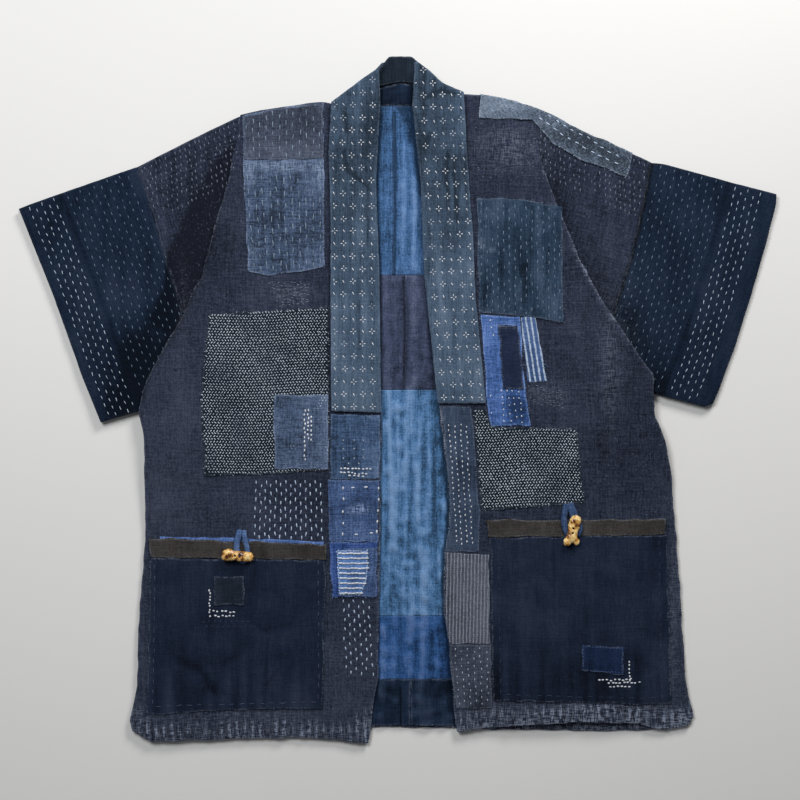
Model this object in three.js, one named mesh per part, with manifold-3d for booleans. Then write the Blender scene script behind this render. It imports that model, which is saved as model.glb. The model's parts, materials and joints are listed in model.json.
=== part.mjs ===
// A patched boro jacket lying flat on its back. Millimetres. +X is to the right and +Y towards the
// collar, seen from above, and +Z is up from the surface it lies on. "Left" and "right" are as seen.
// Its width is centred on X, its length on Y, and its flat underside is at Z = 0.
import * as THREE from "three";
import { mergeVertices } from "three/addons/utils/BufferGeometryUtils.js";
import Module from "manifold-3d";

const wasm = await Module();
wasm.setup();

// ---- driving dimensions -------------------------------------------------------------------------
const HALF_WIDTH = 442; // cuff tip to the middle, sleeves spread
const HALF_LENGTH = 401; // collar peak or hem to the middle
const GAP = 0.3; // between pieces that touch
const BODY = 2.4; // quilted cotton of the body, fronts and backs
const SLEEVE_WALL = 2.2; // quilted cotton of sleeves and cuffs
const SLEEVE_SLIT = 1.0; // air left between a sleeve's two walls
const SLEEVE_FOLD = 3; // cloth at the crown and underarm folds of a sleeve
const LINING = 1.0; // single soft cotton
const PATCH = 0.9; // single patch cloth
const POCKET = 1.4; // pocket cloth with its turned edges
const BAND = 1.9; // folded pocket binding
const COLLAR = 3.6; // folded, quilted collar band
const COLLAR_BACK = 6; // the band doubled behind the neck
const LOOP = 2.0; // sewn loop of cord-like cloth
const CELL = 28; // facet size of the cloth
const TALL = 100; // more than the height of the whole jacket, twice over

const ROLL = 3; // how far the body's folded edge stands up over the sleeve
const ROLL_WIDTH = 30;
const NECK_LIFT = 6; // rise of the lapels towards the back of the neck
const HEM_LIFT = 8; // rise of the right front's hem, which arches off the back
const HEM_LIFT_SPAN = [99, 305];
const HEM_LIFT_DEPTH = 75;

const FOLD_COVER = 42; // how far a sleeve runs in under the body's folded edge
const UNDERARM = -20; // the sleeves lie above this Y
const CENTRE_SEAM = 3; // X of the seam down the back
const LINING_SPAN = [-52, 96]; // X of the lining's two hidden edges

// ---- lines that several pieces share ------------------------------------------------------------
const FOLD_LEFT = [
  [-183, 332], [-196, 254], [-208, 218], [-229, 144], [-250, 105], [-274, 66], [-292, 30], [-301, -13],
];
const FOLD_RIGHT = [
  [160, 341], [166, 281], [182, 236], [212, 164], [236, 120], [260, 84], [283, 51], [297, 30], [300, -21],
];
const SHOULDER_LEFT = [[-77, 345], [-89, 347], [-134, 341], [-183, 332]];
const SHOULDER_RIGHT = [[77, 356], [95, 355], [125, 350], [160, 341]];
const CUFF_SEAM_LEFT = [[-304, 272], [-286, 218], [-271, 167], [-251, 105], [-236, 57]];
const CUFF_SEAM_RIGHT = [[297, 277], [288, 230], [274, 167], [252, 99], [237, 56]];
const SIDE_LEFT = [[-295, -47], [-294, -156], [-301, -245], [-304, -335], [-312, -374], [-309, -386]];
const SIDE_RIGHT = [
  [311, -45], [320, -96], [327, -186], [332, -260], [337, -335], [346, -370], [337, -380],
];
const EDGE_LEFT = [[-32, -380], [-23, -326], [-22, -233], [-20, -156], [-19, -15]];
const EDGE_RIGHT = [
  [69, -386], [65, -350], [59, -275], [54, -245], [54, -182], [60, -144], [60, -111], [56, -66], [48, -5],
];
const LAPEL_LEFT = [[-19, -15], [-21, 146], [-25, 255], [-20, 343], [-21, 383], [-10, HALF_LENGTH]];
const LAPEL_RIGHT = [[47, -4], [39, 70], [31, 146], [27, 255], [17, 343], [20, 385], [17, HALF_LENGTH]];
const NECK = [[-77, 345], [-40, 361], [CENTRE_SEAM, 371], [45, 364], [77, 356]];

const reversed = (line) => [...line].reverse();
const shifted = (line, dx, dy = 0) => line.map(([x, y]) => [x + dx, y + dy]);
const middle = (line) => line.slice(1, -1);

// X of a line that runs up or down, at a height y
function lineX(line, y) {
  const points = line[0][1] > line.at(-1)[1] ? reversed(line) : line;
  if (y <= points[0][1]) return points[0][0];
  for (let i = 1; i < points.length; i += 1) {
    const [x0, y0] = points[i - 1];
    const [x1, y1] = points[i];
    if (y <= y1) return x0 + ((x1 - x0) * (y - y0)) / (y1 - y0);
  }
  return points.at(-1)[0];
}

// ---- the cloth's layers, as heights over the surface --------------------------------------------
const clamp = (t) => Math.min(1, Math.max(0, t));
const ease = (t) => clamp(t) ** 2 * (3 - 2 * clamp(t));
const fade = (d, full, none) => 1 - ease((d - full) / (none - full));

// distance inward from the nearer folded body edge: negative out on a sleeve
function fromFold(x, y) {
  return x < 0 ? x - lineX(FOLD_LEFT, y) : lineX(FOLD_RIGHT, y) - x;
}

function sleeveBottom(x, y) {
  return (BODY + GAP) * fade(-fromFold(x, y), 1.2 * CELL, 3 * CELL);
}
const SLEEVE = 2 * SLEEVE_WALL + SLEEVE_SLIT;
const sleeveTop = (x, y) => sleeveBottom(x, y) + SLEEVE;

function frontBottom(x, y) {
  const [liningLeft, liningRight] = LINING_SPAN;
  const pastLining = Math.max(liningLeft - x, x - liningRight);
  const overLining = (LINING + GAP) * fade(pastLining, 1.2 * CELL, 2.5 * CELL);
  const sleeveUnder = fade(fromFold(x, y), FOLD_COVER + 1.2 * CELL, FOLD_COVER + 3.5 * CELL);
  const overSleeve = (SLEEVE + GAP) * sleeveUnder * fade(UNDERARM - y, 1.2 * CELL, 3.5 * CELL);
  const roll = ROLL * Math.exp(-((fromFold(x, y) / ROLL_WIDTH) ** 2)) * fade(UNDERARM - y, 0, 5 * CELL);
  const [hemStart, hemEnd] = HEM_LIFT_SPAN;
  const arch = Math.sin(Math.PI * clamp((x - hemStart) / (hemEnd - hemStart)));
  const hem = HEM_LIFT * arch * fade(y + HALF_LENGTH, 0.2 * HEM_LIFT_DEPTH, 1.4 * HEM_LIFT_DEPTH);
  return BODY + GAP + overLining + overSleeve + roll + hem;
}
const frontTop = (x, y) => frontBottom(x, y) + BODY;

// the surface that a patch across the body's folded edge lies on
function shoulderTop(x, y) {
  const past = fade(-fromFold(x, y), 1.2 * CELL, 2.5 * CELL);
  return sleeveTop(x, y) + (frontTop(x, y) - sleeveTop(x, y)) * past;
}
const collarBottom = (x, y) => frontTop(x, y) + GAP + NECK_LIFT * ease((y - 240) / 160);

const above = (layer, dz) => (x, y) => layer(x, y) + dz;
const onFront = above(frontTop, GAP);
const onPatch = above(onFront, PATCH + GAP);
const onSecondPatch = above(onPatch, PATCH + GAP);
const onPocket = above(onFront, POCKET + GAP);
const onBand = above(onFront, BAND + GAP);
const onLoop = above(onBand, LOOP + GAP);
const LINING_BOTTOM = BODY + GAP;

// ---- making solids ------------------------------------------------------------------------------
function solidOf(geometry) {
  for (const name of ["normal", "uv"]) geometry.deleteAttribute(name);
  const merged = mergeVertices(geometry, 1e-4);
  const vertProperties = new Float32Array(merged.attributes.position.array);
  const triVerts = new Uint32Array(merged.index.array);
  return new wasm.Manifold(new wasm.Mesh({ numProp: 3, vertProperties, triVerts }));
}

function geometryOf(solid) {
  const mesh = solid.getMesh();
  const geometry = new THREE.BufferGeometry();
  geometry.setAttribute("position", new THREE.BufferAttribute(new Float32Array(mesh.vertProperties), 3));
  geometry.setIndex(new THREE.BufferAttribute(new Uint32Array(mesh.triVerts), 1));
  geometry.computeVertexNormals();
  return geometry;
}

// an outline extruded from z = from up by depth; hole, where given, is a second outline cut out of it
function extruded(outline, from, depth, hole) {
  const shape = new THREE.Shape(outline.map(([x, y]) => new THREE.Vector2(x, y)));
  if (hole) shape.holes.push(new THREE.Path(hole.map(([x, y]) => new THREE.Vector2(x, y))));
  return new THREE.ExtrudeGeometry(shape, { depth, bevelEnabled: false }).translate(0, 0, from);
}

// the same, tall enough to pass through every layer of cloth
const prism = (outline, hole) => solidOf(extruded(outline, -TALL / 2, TALL, hole));

// a sheet over the whole jacket between two heights, on one lattice that every layer shares, so
// that a layer made from another's heights keeps its distance from it everywhere
const COLUMNS = Math.ceil(HALF_WIDTH / CELL) * 2 + 2;
const ROWS = Math.ceil(HALF_LENGTH / CELL) * 2 + 2;
function sheetBetween(bottom, top) {
  const across = COLUMNS + 1;
  const count = across * (ROWS + 1);
  const positions = [];
  for (const height of [bottom, top]) {
    for (let row = 0; row <= ROWS; row += 1) {
      for (let column = 0; column <= COLUMNS; column += 1) {
        const x = (column - COLUMNS / 2) * CELL;
        const y = (row - ROWS / 2) * CELL;
        positions.push(x, y, height(x, y));
      }
    }
  }
  const index = [];
  const quad = (a, b, c, d) => index.push(a, b, c, a, c, d);
  for (let row = 0; row < ROWS; row += 1) {
    for (let column = 0; column < COLUMNS; column += 1) {
      const a = row * across + column;
      const [b, c, d] = [a + 1, a + 1 + across, a + across];
      quad(a + count, b + count, c + count, d + count);
      index.push(a, c, b, a, d, c);
    }
  }
  const last = ROWS * across;
  for (let column = 0; column < COLUMNS; column += 1) {
    quad(column, column + 1, column + 1 + count, column + count);
    quad(last + column + 1, last + column, last + column + count, last + column + 1 + count);
  }
  for (let row = 0; row < ROWS; row += 1) {
    const [a, b] = [row * across, (row + 1) * across];
    quad(b, a, a + count, b + count);
    quad(a + COLUMNS, b + COLUMNS, b + COLUMNS + count, a + COLUMNS + count);
  }
  const geometry = new THREE.BufferGeometry();
  geometry.setAttribute("position", new THREE.Float32BufferAttribute(positions, 3));
  geometry.setIndex(index);
  return solidOf(geometry);
}

const jacket = new THREE.Group();
function add(name, geometry, color, roughness = 0.92) {
  const material = new THREE.MeshStandardMaterial({ color, roughness, metalness: 0 });
  const mesh = new THREE.Mesh(geometry, material);
  mesh.name = name;
  jacket.add(mesh);
  return mesh;
}

// a piece of cloth that lies quite flat
function addFlat(name, outline, bottom, thickness, color) {
  add(name, geometryOf(solidOf(extruded(outline, bottom, thickness))), color);
}

// a draped piece of cloth: an outline cut from a sheet of one thickness
function addCloth(name, outline, bottom, thickness, color, hole) {
  const sheet = sheetBetween(bottom, above(bottom, thickness));
  add(name, geometryOf(sheet.intersect(prism(outline, hole))), color);
}

// a flattened tube: crown and underarm folds are closed, and the slit runs out at both ends
function addTube(name, outline, slit, color) {
  const walls = sheetBetween(sleeveBottom, sleeveTop).intersect(prism(outline));
  const inside = sheetBetween(above(sleeveBottom, SLEEVE_WALL), above(sleeveTop, -SLEEVE_WALL));
  add(name, geometryOf(walls.subtract(inside.intersect(prism(slit)))), color);
}

// ---- colours ------------------------------------------------------------------------------------
const BASE = 0x2c2f3b;
const NAVY = 0x1f2b3c;
const COLLAR_CLOTH = 0x465566;
const INDIGO = 0x45648b;
const PALE_INDIGO = 0x4e6f96;
const DARK = 0x1e2735;
const CHECKER = 0x4a5460;
const BROWN = 0x393634;
const POCKET_CLOTH = 0x1c2330;
const LOOP_CLOTH = 0x2b4570;
const HORN = 0x9c7a55;

// ---- back, lining and the collar behind the neck ------------------------------------------------
const HEM_BACK_LEFT = [[-296, -386], [-160, -384], [CENTRE_SEAM, -382]];
const HEM_BACK_RIGHT = [[CENTRE_SEAM, -382], [158, -386], [278, -386], [325, -384]];
const SEAM_HALF = GAP / 2;

addFlat("back_left", [
  [CENTRE_SEAM - SEAM_HALF, 371], ...reversed(NECK.slice(0, 2)), ...SHOULDER_LEFT.slice(1),
  ...FOLD_LEFT.slice(1), ...SIDE_LEFT.slice(0, -1), ...HEM_BACK_LEFT.slice(0, -1),
  [CENTRE_SEAM - SEAM_HALF, -382],
], 0, BODY, BASE);
addFlat("back_right", [
  [CENTRE_SEAM + SEAM_HALF, 371], ...NECK.slice(3), ...SHOULDER_RIGHT.slice(1), ...FOLD_RIGHT.slice(1),
  ...SIDE_RIGHT.slice(0, -1), ...reversed(HEM_BACK_RIGHT.slice(1)), [CENTRE_SEAM + SEAM_HALF, -382],
], 0, BODY, BASE);
addFlat("collar_back", [
  [-72, 349], [-45, 369], [-23, 384], [-10, HALF_LENGTH], [17, HALF_LENGTH], [40, 380], [52, 368],
  [71, 359.5], ...shifted(reversed(middle(NECK)), 0, 0.6),
], 0, COLLAR_BACK, DARK);

// each strip of lining: name, upper and lower Y, colour, and the X of the seam that splits it
const LINING_STRIPS = [
  ["lining_upper", 343, 146, INDIGO, -6],
  ["lining_middle", 146, 12, 0x3b424f, 8],
  ["lining_lower", 12, -252, PALE_INDIGO, null],
  ["lining_foot", -252, -326, 0x2f4c76, null],
  ["hem_facing", -326, -380, DARK, 15],
];
for (const [name, upper, lower, color, seam] of LINING_STRIPS) {
  const [left, right] = LINING_SPAN;
  const strip = (x0, x1) => [[x0, upper - SEAM_HALF], [x0, lower + SEAM_HALF], [x1, lower + SEAM_HALF],
    [x1, upper - SEAM_HALF]];
  if (seam === null) {
    addFlat(name, strip(left, right), LINING_BOTTOM, LINING, color);
  } else {
    addFlat(`${name}_left`, strip(left, seam - SEAM_HALF), LINING_BOTTOM, LINING, color);
    addFlat(`${name}_right`, strip(seam + SEAM_HALF, right), LINING_BOTTOM, LINING, color);
  }
}
addFlat("neck_yoke", [
  [-52, 343 + SEAM_HALF], [-40, 359], [CENTRE_SEAM, 370], [45, 363], [66, 343 + SEAM_HALF],
], LINING_BOTTOM, LINING, 0x1b2637);

// ---- sleeves and cuffs --------------------------------------------------------------------------
const CROWN_LEFT = [[-304, 272], [-244, 302], [-213, 317], [-183, 331], [-141, 338]];
const CROWN_RIGHT = [[297, 277], [275, 287], [224, 309], [182, 331], [160, 340], [120, 349]];
const ROOT_LEFT = shifted(FOLD_LEFT.slice(1, 6), FOLD_COVER);
const ROOT_RIGHT = shifted(FOLD_RIGHT.slice(1, 6), -FOLD_COVER);
const CUFF_HEM_LEFT = [[-HALF_WIDTH, 223], [-402, 123], [-367, 25], [-346, -26]];
const CUFF_HEM_RIGHT = [
  [HALF_WIDTH, 240], [HALF_WIDTH, 230], [430, 182], [412, 120], [394, 63], [374, 9], [368, -4], [358, -8],
];
const CUFF_TOP_LEFT = [[-304, 272], [-408, 236], [-HALF_WIDTH, 223]];
const CUFF_TOP_RIGHT = [[297, 277], [309, 276], [382, 256], [HALF_WIDTH, 240]];
const UNDERARM_LEFT = [[-346, -26], [-301, -13], [-260, -1]];
const UNDERARM_RIGHT = [[358, -8], [304, 6], [257, 19]];
const PAST_END = 40; // how far a slit's outline runs out past the tube's open ends

addTube("sleeve_left", [
  ...CROWN_LEFT, ...ROOT_LEFT, ...shifted(reversed(CUFF_SEAM_LEFT).slice(0, -1), SEAM_HALF),
], [
  ...shifted(CROWN_LEFT, 0, -SLEEVE_FOLD), [-141 + PAST_END, 338], [-236 + PAST_END, 60],
  [-236, 57 + 3 * SLEEVE_FOLD], ...shifted(reversed(CUFF_SEAM_LEFT.slice(1, 4)), -PAST_END),
  [-304 - PAST_END, 272 - PAST_END / 2],
], BASE);
addTube("sleeve_right", [
  ...reversed(CROWN_RIGHT), ...shifted(CUFF_SEAM_RIGHT.slice(1), -SEAM_HALF), ...reversed(ROOT_RIGHT),
], [
  ...shifted(reversed(CROWN_RIGHT), 0, -SLEEVE_FOLD), [297 + PAST_END, 277 - PAST_END / 2],
  ...shifted(CUFF_SEAM_RIGHT.slice(1, 4), PAST_END), [237, 56 + 3 * SLEEVE_FOLD],
  [236 - PAST_END, 60], [120 - PAST_END, 349],
], BASE);
addTube("cuff_left", [
  ...CUFF_TOP_LEFT.slice(1), ...CUFF_HEM_LEFT.slice(1), ...UNDERARM_LEFT.slice(1), [-250, 30],
  ...shifted(reversed(CUFF_SEAM_LEFT), -SEAM_HALF),
], [
  [-304 + PAST_END, 286 - SLEEVE_FOLD], [-304, 272 - SLEEVE_FOLD], [-408, 236 - SLEEVE_FOLD],
  [-HALF_WIDTH - PAST_END, 223 - SLEEVE_FOLD], [-346 - PAST_END, -38 + SLEEVE_FOLD],
  [-346, -26 + SLEEVE_FOLD], [-301, -13 + SLEEVE_FOLD], [-260 + PAST_END, 12 + SLEEVE_FOLD],
], NAVY);
addTube("cuff_right", [
  ...shifted(CUFF_SEAM_RIGHT, SEAM_HALF), [250, 30], ...reversed(UNDERARM_RIGHT).slice(0, -1),
  ...reversed(CUFF_HEM_RIGHT), ...reversed(middle(CUFF_TOP_RIGHT)),
], [
  [297 - PAST_END, 280 - SLEEVE_FOLD], [257 - PAST_END, 31 + SLEEVE_FOLD], [304, 6 + SLEEVE_FOLD],
  [358, -8 + SLEEVE_FOLD], [374 + PAST_END, -12 + SLEEVE_FOLD],
  [HALF_WIDTH + PAST_END, 240 - SLEEVE_FOLD], [382, 256 - SLEEVE_FOLD], [309, 276 - SLEEVE_FOLD],
], NAVY);

// ---- fronts and lapels --------------------------------------------------------------------------
const UNDER_LAPEL = 4; // how far a front's hidden edge stops short of the lapel's free edge
const HEM_LEFT = [[-286, -399], [-226, -397], [-167, -394], [-106, -394], [-62, -398], [-34, -HALF_LENGTH]];
const HEM_RIGHT = [
  [323, -384], [302, -383], [278, -377], [218, -375], [158, -378], [99, -383], [71, -388],
];
addCloth("front_left", [
  ...SHOULDER_LEFT, ...FOLD_LEFT.slice(1), ...SIDE_LEFT, ...HEM_LEFT, ...EDGE_LEFT,
  ...shifted(LAPEL_LEFT.slice(0, 3), -UNDER_LAPEL), [-26, 325],
], frontBottom, BODY, BASE);
addCloth("front_right", [
  ...reversed(SHOULDER_RIGHT), [28, 330], ...shifted(reversed(LAPEL_RIGHT.slice(0, 4)), UNDER_LAPEL),
  ...reversed(EDGE_RIGHT), ...reversed(HEM_RIGHT), ...reversed(SIDE_RIGHT),
  ...reversed(FOLD_RIGHT).slice(0, -1),
], frontBottom, BODY, BASE);
const LAPEL_OUTER_LEFT = [
  [-77, -13], [-78, 119], [-78, 222], [-80, 289], [-77, 346], [-45, 370], [-25, 384],
];
const LAPEL_OUTER_RIGHT = [
  [103, -4], [91, 119], [88, 191], [84, 244], [80, 298], [77, 357], [52, 368], [40, 380], [24, 392],
];
const LAPELS = {
  collar_left: [...LAPEL_OUTER_LEFT, ...reversed(LAPEL_LEFT)],
  collar_right: [...LAPEL_RIGHT, ...reversed(LAPEL_OUTER_RIGHT)],
};
for (const [name, outline] of Object.entries(LAPELS)) {
  addCloth(name, outline, collarBottom, COLLAR, COLLAR_CLOTH);
}

// ---- patches: each name has its outline, the surface that it is sewn on, and its colour ----------
const PATCHES = {
  shoulder_patch_left: [[
    [-181, 331], [-134, 340], [-86, 345], [-85, 156], [-117, 148], [-152, 145], [-174, 150], [-176, 201],
  ], onFront, 0x485a77],
  shoulder_top_left: [[[-180, 330], [-134, 339], [-88, 344], [-87, 281], [-178, 279]], onPatch, 0x434d60],
  checker_left: [[
    [-219, 100], [-150, 104], [-80, 108], [-80, -82], [-150, -86], [-224, -88], [-229, 0],
  ], onFront, CHECKER],
  small_patch_left: [[[-144, 6], [-81, 6], [-81, -80], [-143, -80]], onPatch, 0x46526b],
  edge_patch_left_1: [[[-78, -16], [-21, -18], [-21, -92], [-78, -92]], onFront, 0x3d4c66],
  edge_patch_left_2: [[[-81, -93], [-21, -93], [-23, -165], [-80, -165]], onFront, 0x3e5073],
  edge_patch_left_3: [[[-79, -166], [-23, -166], [-24, -230], [-76, -230]], onFront, 0x3d5f9b],
  edge_inset_left: [[[-70, -173], [-24, -172], [-25, -229], [-69, -229]], onPatch, 0x38486d],
  striped_patch_left: [[
    [-71, -175], [-34, -175], [-35, -206], [-42, -227], [-68, -227],
  ], onSecondPatch, 0x6e83a3],
  shoulder_strip_right: [[
    [96, 354], [95, 328], [157, 326], [181, 299], [208, 283], [237, 272], [268, 259], [273, 286],
    [224, 307], [182, 329], [158, 339], [125, 348],
  ], above(shoulderTop, GAP), 0x606e82],
  chest_patch_right: [[
    [92, 235], [150, 233], [191, 224], [193, 90], [158, 97], [95, 102],
  ], onFront, 0x2e3c4f],
  blue_patch_right: [[
    [97, 99], [142, 97], [149, 12], [155, -30], [109, -30], [105, -8],
  ], onFront, 0x415c8b],
  blue_inset_right: [[[117, 87], [140, 87], [147, 13], [123, 13]], onPatch, 0x222d47],
  striped_strip_right: [[[143, 96], [160, 95], [174, 22], [152, 21]], onFront, 0x51688c],
  checker_right: [[
    [88, -10], [103, -12], [107, -31], [156, -33], [209, -33], [217, -120], [98, -129],
  ], onFront, CHECKER],
  edge_patch_right_1: [[
    [51, -7], [86, -7], [96, -130], [95, -177], [56, -177], [61, -144], [61, -111], [57, -66],
  ], onFront, 0x414d5f],
  edge_patch_right_2: [[
    [56, -178], [106, -181], [108, -284], [61, -284], [56, -245],
  ], onFront, 0x535968],
  edge_patch_right_3: [[[61, -285], [109, -285], [110, -359], [68, -359], [65, -320]], onFront, 0x3a404e],
  pocket_patch_left: [[[-214, -206], [-179, -206], [-179, -239], [-214, -239]], onPocket, 0x1b2230],
  pocket_patch_right: [[[215, -285], [264, -288], [263, -320], [214, -316]], onPocket, 0x1c2a48],
};
for (const [name, [outline, surface, color]] of Object.entries(PATCHES)) {
  addCloth(name, outline, surface, PATCH, color);
}

// ---- pockets, their bound mouths, loops and toggles ----------------------------------------------
addCloth("pocket_left", [
  [-289, -184], [-84, -187], [-87, -360], [-184, -361], [-274, -366], [-293, -367],
], onFront, POCKET, POCKET_CLOTH);
addCloth("pocket_right", [
  [108, -160.5], [314, -157.5], [320, -355], [111, -350],
], onFront, POCKET, POCKET_CLOTH);
addCloth("pocket_band_left", [
  [-290, -161.5], [-190, -164.5], [-83, -168.5], [-83, -186.5], [-289, -183.5],
], onFront, BAND, BROWN);
addCloth("pocket_band_right", [[103, -140], [312, -139], [312, -157], [106, -160]], onFront, BAND, BROWN);
addCloth("pocket_lip_left", [
  [-277, -158], [-190, -159.5], [-86, -164], [-86, -167.5], [-190, -164], [-277, -161],
], onFront, PATCH, 0x3c5c88);

const STRAND = 5; // width of a loop's strand
const LOOP_STEPS = 8; // facets round a loop's bend
// a sewn loop: a round-ended ring of cloth hanging from (x, top)
function addLoop(name, x, top, length, width) {
  const outer = width / 2;
  const centre = top - length + outer;
  const ring = (radius, upper) => {
    const points = [];
    for (let step = 0; step <= LOOP_STEPS; step += 1) {
      const angle = Math.PI + (Math.PI * step) / LOOP_STEPS;
      points.push([x + radius * Math.cos(angle), centre + radius * Math.sin(angle)]);
    }
    return [...points, [x + radius, upper], [x - radius, upper]];
  };
  addCloth(name, ring(outer, top), onBand, LOOP, LOOP_CLOTH, ring(outer - STRAND, top - STRAND));
}
addLoop("loop_left", -182, -150, 41, 17);
addLoop("loop_right", 203, -121, 41, 21);

// a carved toggle: stations along its length, each with how far the middle lies to the side and
// how wide the toggle is either way, then round lobes at its ends, and two sewing holes
const TOGGLE_FLATTEN = 0.7;
const TOGGLE_SIDES = 14;
const HOLE_RADIUS = 1.4;
const HOLE_SPACING = 5.5;
const DRILL_LENGTH = 40;
const TOGGLE_LEFT = [
  [-19, 0.5, 0], [-18.2, 0.5, 4.2], [-16, 0.2, 6.4], [-11.5, -0.9, 7.5], [-8, -0.9, 6.8], [-4, -0.2, 5],
  [1, 0.3, 4.6], [6, 0.3, 4.9], [11, 0, 5.7], [15.5, -0.2, 5.4], [18.2, -0.2, 3.4], [19, -0.2, 0],
];
const TOGGLE_RIGHT = [
  [-13, -1, 0], [-12, -1, 5], [-8, -0.6, 6.2], [-3, 0, 5.4], [2, 0.2, 5.4], [8, 1, 6.2], [13, 1.6, 6.6],
  [17, 1.8, 5], [18.9, 1.8, 0],
];
// lobes: middle along and to the side, and their reach along and to the side
const LOBES_RIGHT = [[-13.6, -6.2, 5, 3.6], [-12, 5.6, 4.6, 3.6]];

function addToggle(name, x, y, turn, stations, lobes) {
  const profile = stations.map(([along, , half]) => new THREE.Vector2(half, along));
  const spindle = new THREE.LatheGeometry(profile, TOGGLE_SIDES);
  const place = spindle.attributes.position;
  for (let i = 0; i < place.count; i += 1) {
    place.setX(i, place.getX(i) + stations[i % stations.length][1]);
  }
  let solid = solidOf(spindle);
  for (const [along, side, reach, half] of lobes) {
    const lobe = new THREE.SphereGeometry(1, 12, 8).scale(half, reach, half).translate(side, along, 0);
    solid = solid.add(solidOf(lobe));
  }
  for (const side of [-1, 1]) {
    const drill = new THREE.CylinderGeometry(HOLE_RADIUS, HOLE_RADIUS, DRILL_LENGTH, 10);
    drill.rotateX(Math.PI / 2).translate(0, (side * HOLE_SPACING) / 2, 0);
    solid = solid.subtract(solidOf(drill));
  }
  const geometry = geometryOf(solid);
  geometry.scale(1, 1, TOGGLE_FLATTEN);
  geometry.computeBoundingBox();
  const mesh = add(name, geometry, HORN, 0.35);
  mesh.rotation.z = turn;
  mesh.position.set(x, y, onLoop(x, y) - geometry.boundingBox.min.z);
}
addToggle("toggle_left", -186, -181.5, -Math.PI / 2 - 0.06, TOGGLE_LEFT, []);
addToggle("toggle_right", 204, -152, -0.12, TOGGLE_RIGHT, LOBES_RIGHT);

export default jacket;
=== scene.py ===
# The looks of a patched boro jacket lying flat: cloth shells, running stitches, loops and toggles, on
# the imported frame. Sizes are in millimetres until a mesh is made. +X is to the right and +Y towards the
# collar, seen from above. "Left" and "right" are as seen.
import json
import math

import bmesh
import bpy
import numpy as np
from mathutils import Matrix, Vector
from mathutils.bvhtree import BVHTree
from mathutils.geometry import delaunay_2d_cdt
from mathutils.kdtree import KDTree


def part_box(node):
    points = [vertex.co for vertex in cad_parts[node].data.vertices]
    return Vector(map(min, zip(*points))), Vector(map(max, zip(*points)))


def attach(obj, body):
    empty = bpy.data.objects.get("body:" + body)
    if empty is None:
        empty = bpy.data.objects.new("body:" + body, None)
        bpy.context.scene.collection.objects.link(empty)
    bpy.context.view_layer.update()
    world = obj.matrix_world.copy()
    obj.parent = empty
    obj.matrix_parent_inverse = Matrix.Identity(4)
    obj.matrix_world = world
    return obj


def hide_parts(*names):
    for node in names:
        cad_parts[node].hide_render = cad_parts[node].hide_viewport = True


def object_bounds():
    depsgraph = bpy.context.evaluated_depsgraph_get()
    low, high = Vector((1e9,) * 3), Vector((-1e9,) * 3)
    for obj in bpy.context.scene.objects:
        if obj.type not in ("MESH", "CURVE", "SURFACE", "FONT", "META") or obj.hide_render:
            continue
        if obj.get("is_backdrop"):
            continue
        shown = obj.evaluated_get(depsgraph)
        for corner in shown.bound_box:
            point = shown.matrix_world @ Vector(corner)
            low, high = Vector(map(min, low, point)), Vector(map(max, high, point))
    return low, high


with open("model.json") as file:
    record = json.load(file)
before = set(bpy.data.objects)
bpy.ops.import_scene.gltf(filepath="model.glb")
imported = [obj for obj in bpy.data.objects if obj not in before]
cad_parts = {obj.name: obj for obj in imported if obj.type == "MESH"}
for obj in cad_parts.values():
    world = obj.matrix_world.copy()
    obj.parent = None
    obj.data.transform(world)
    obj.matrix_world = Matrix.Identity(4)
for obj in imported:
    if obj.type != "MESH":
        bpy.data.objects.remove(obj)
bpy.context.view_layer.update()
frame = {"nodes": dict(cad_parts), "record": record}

MM = 0.001
NODES = frame["nodes"]
SLOT_OF = {part["node"]: part["material_slot"] for part in frame["record"]["subparts"]}

# ---- rasters over the whole jacket, one value a millimetre ------------------------------------------
HALF_X, HALF_Y = 480, 440
GRID_X, GRID_Y = np.meshgrid(np.arange(-HALF_X, HALF_X + 1.0), np.arange(-HALF_Y, HALF_Y + 1.0))


def box_pass(values, radius, axis):
    pad = [(0, 0), (0, 0)]
    pad[axis] = (radius + 1, radius)
    total = np.cumsum(np.pad(values, pad, mode="edge"), axis=axis)
    window = 2 * radius + 1
    length = values.shape[axis]
    late = [slice(None), slice(None)]
    early = [slice(None), slice(None)]
    late[axis] = slice(window, window + length)
    early[axis] = slice(0, length)
    return (total[tuple(late)] - total[tuple(early)]) / window


def blur(values, across, along=None):
    """Three box passes either way, close to a Gaussian of these widths."""
    for axis, width in ((1, across), (0, across if along is None else along)):
        radius = round(width - 0.5)
        if radius >= 1:
            for _ in range(3):
                values = box_pass(values, radius, axis)
    return values


def rough(seed, across, along=None):
    noise = blur(np.random.default_rng(seed).standard_normal(GRID_X.shape), across, along)
    return noise / noise.std()


def bilinear(values, column, row):
    column = np.clip(column, 0, values.shape[1] - 1.001)
    row = np.clip(row, 0, values.shape[0] - 1.001)
    i, j = row.astype(int), column.astype(int)
    v, u = row - i, column - j
    upper = values[i + 1, j] * (1 - u) + values[i + 1, j + 1] * u
    return (values[i, j] * (1 - u) + values[i, j + 1] * u) * (1 - v) + upper * v


def sample(raster, x, y):
    return bilinear(raster, np.asarray(x) + HALF_X, np.asarray(y) + HALF_Y)


def ease(value, start, end):
    t = np.clip((value - start) / (end - start), 0, 1)
    return t * t * (3 - 2 * t)


def bell(distance, width):
    return np.exp(-((distance / width) ** 2))


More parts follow.
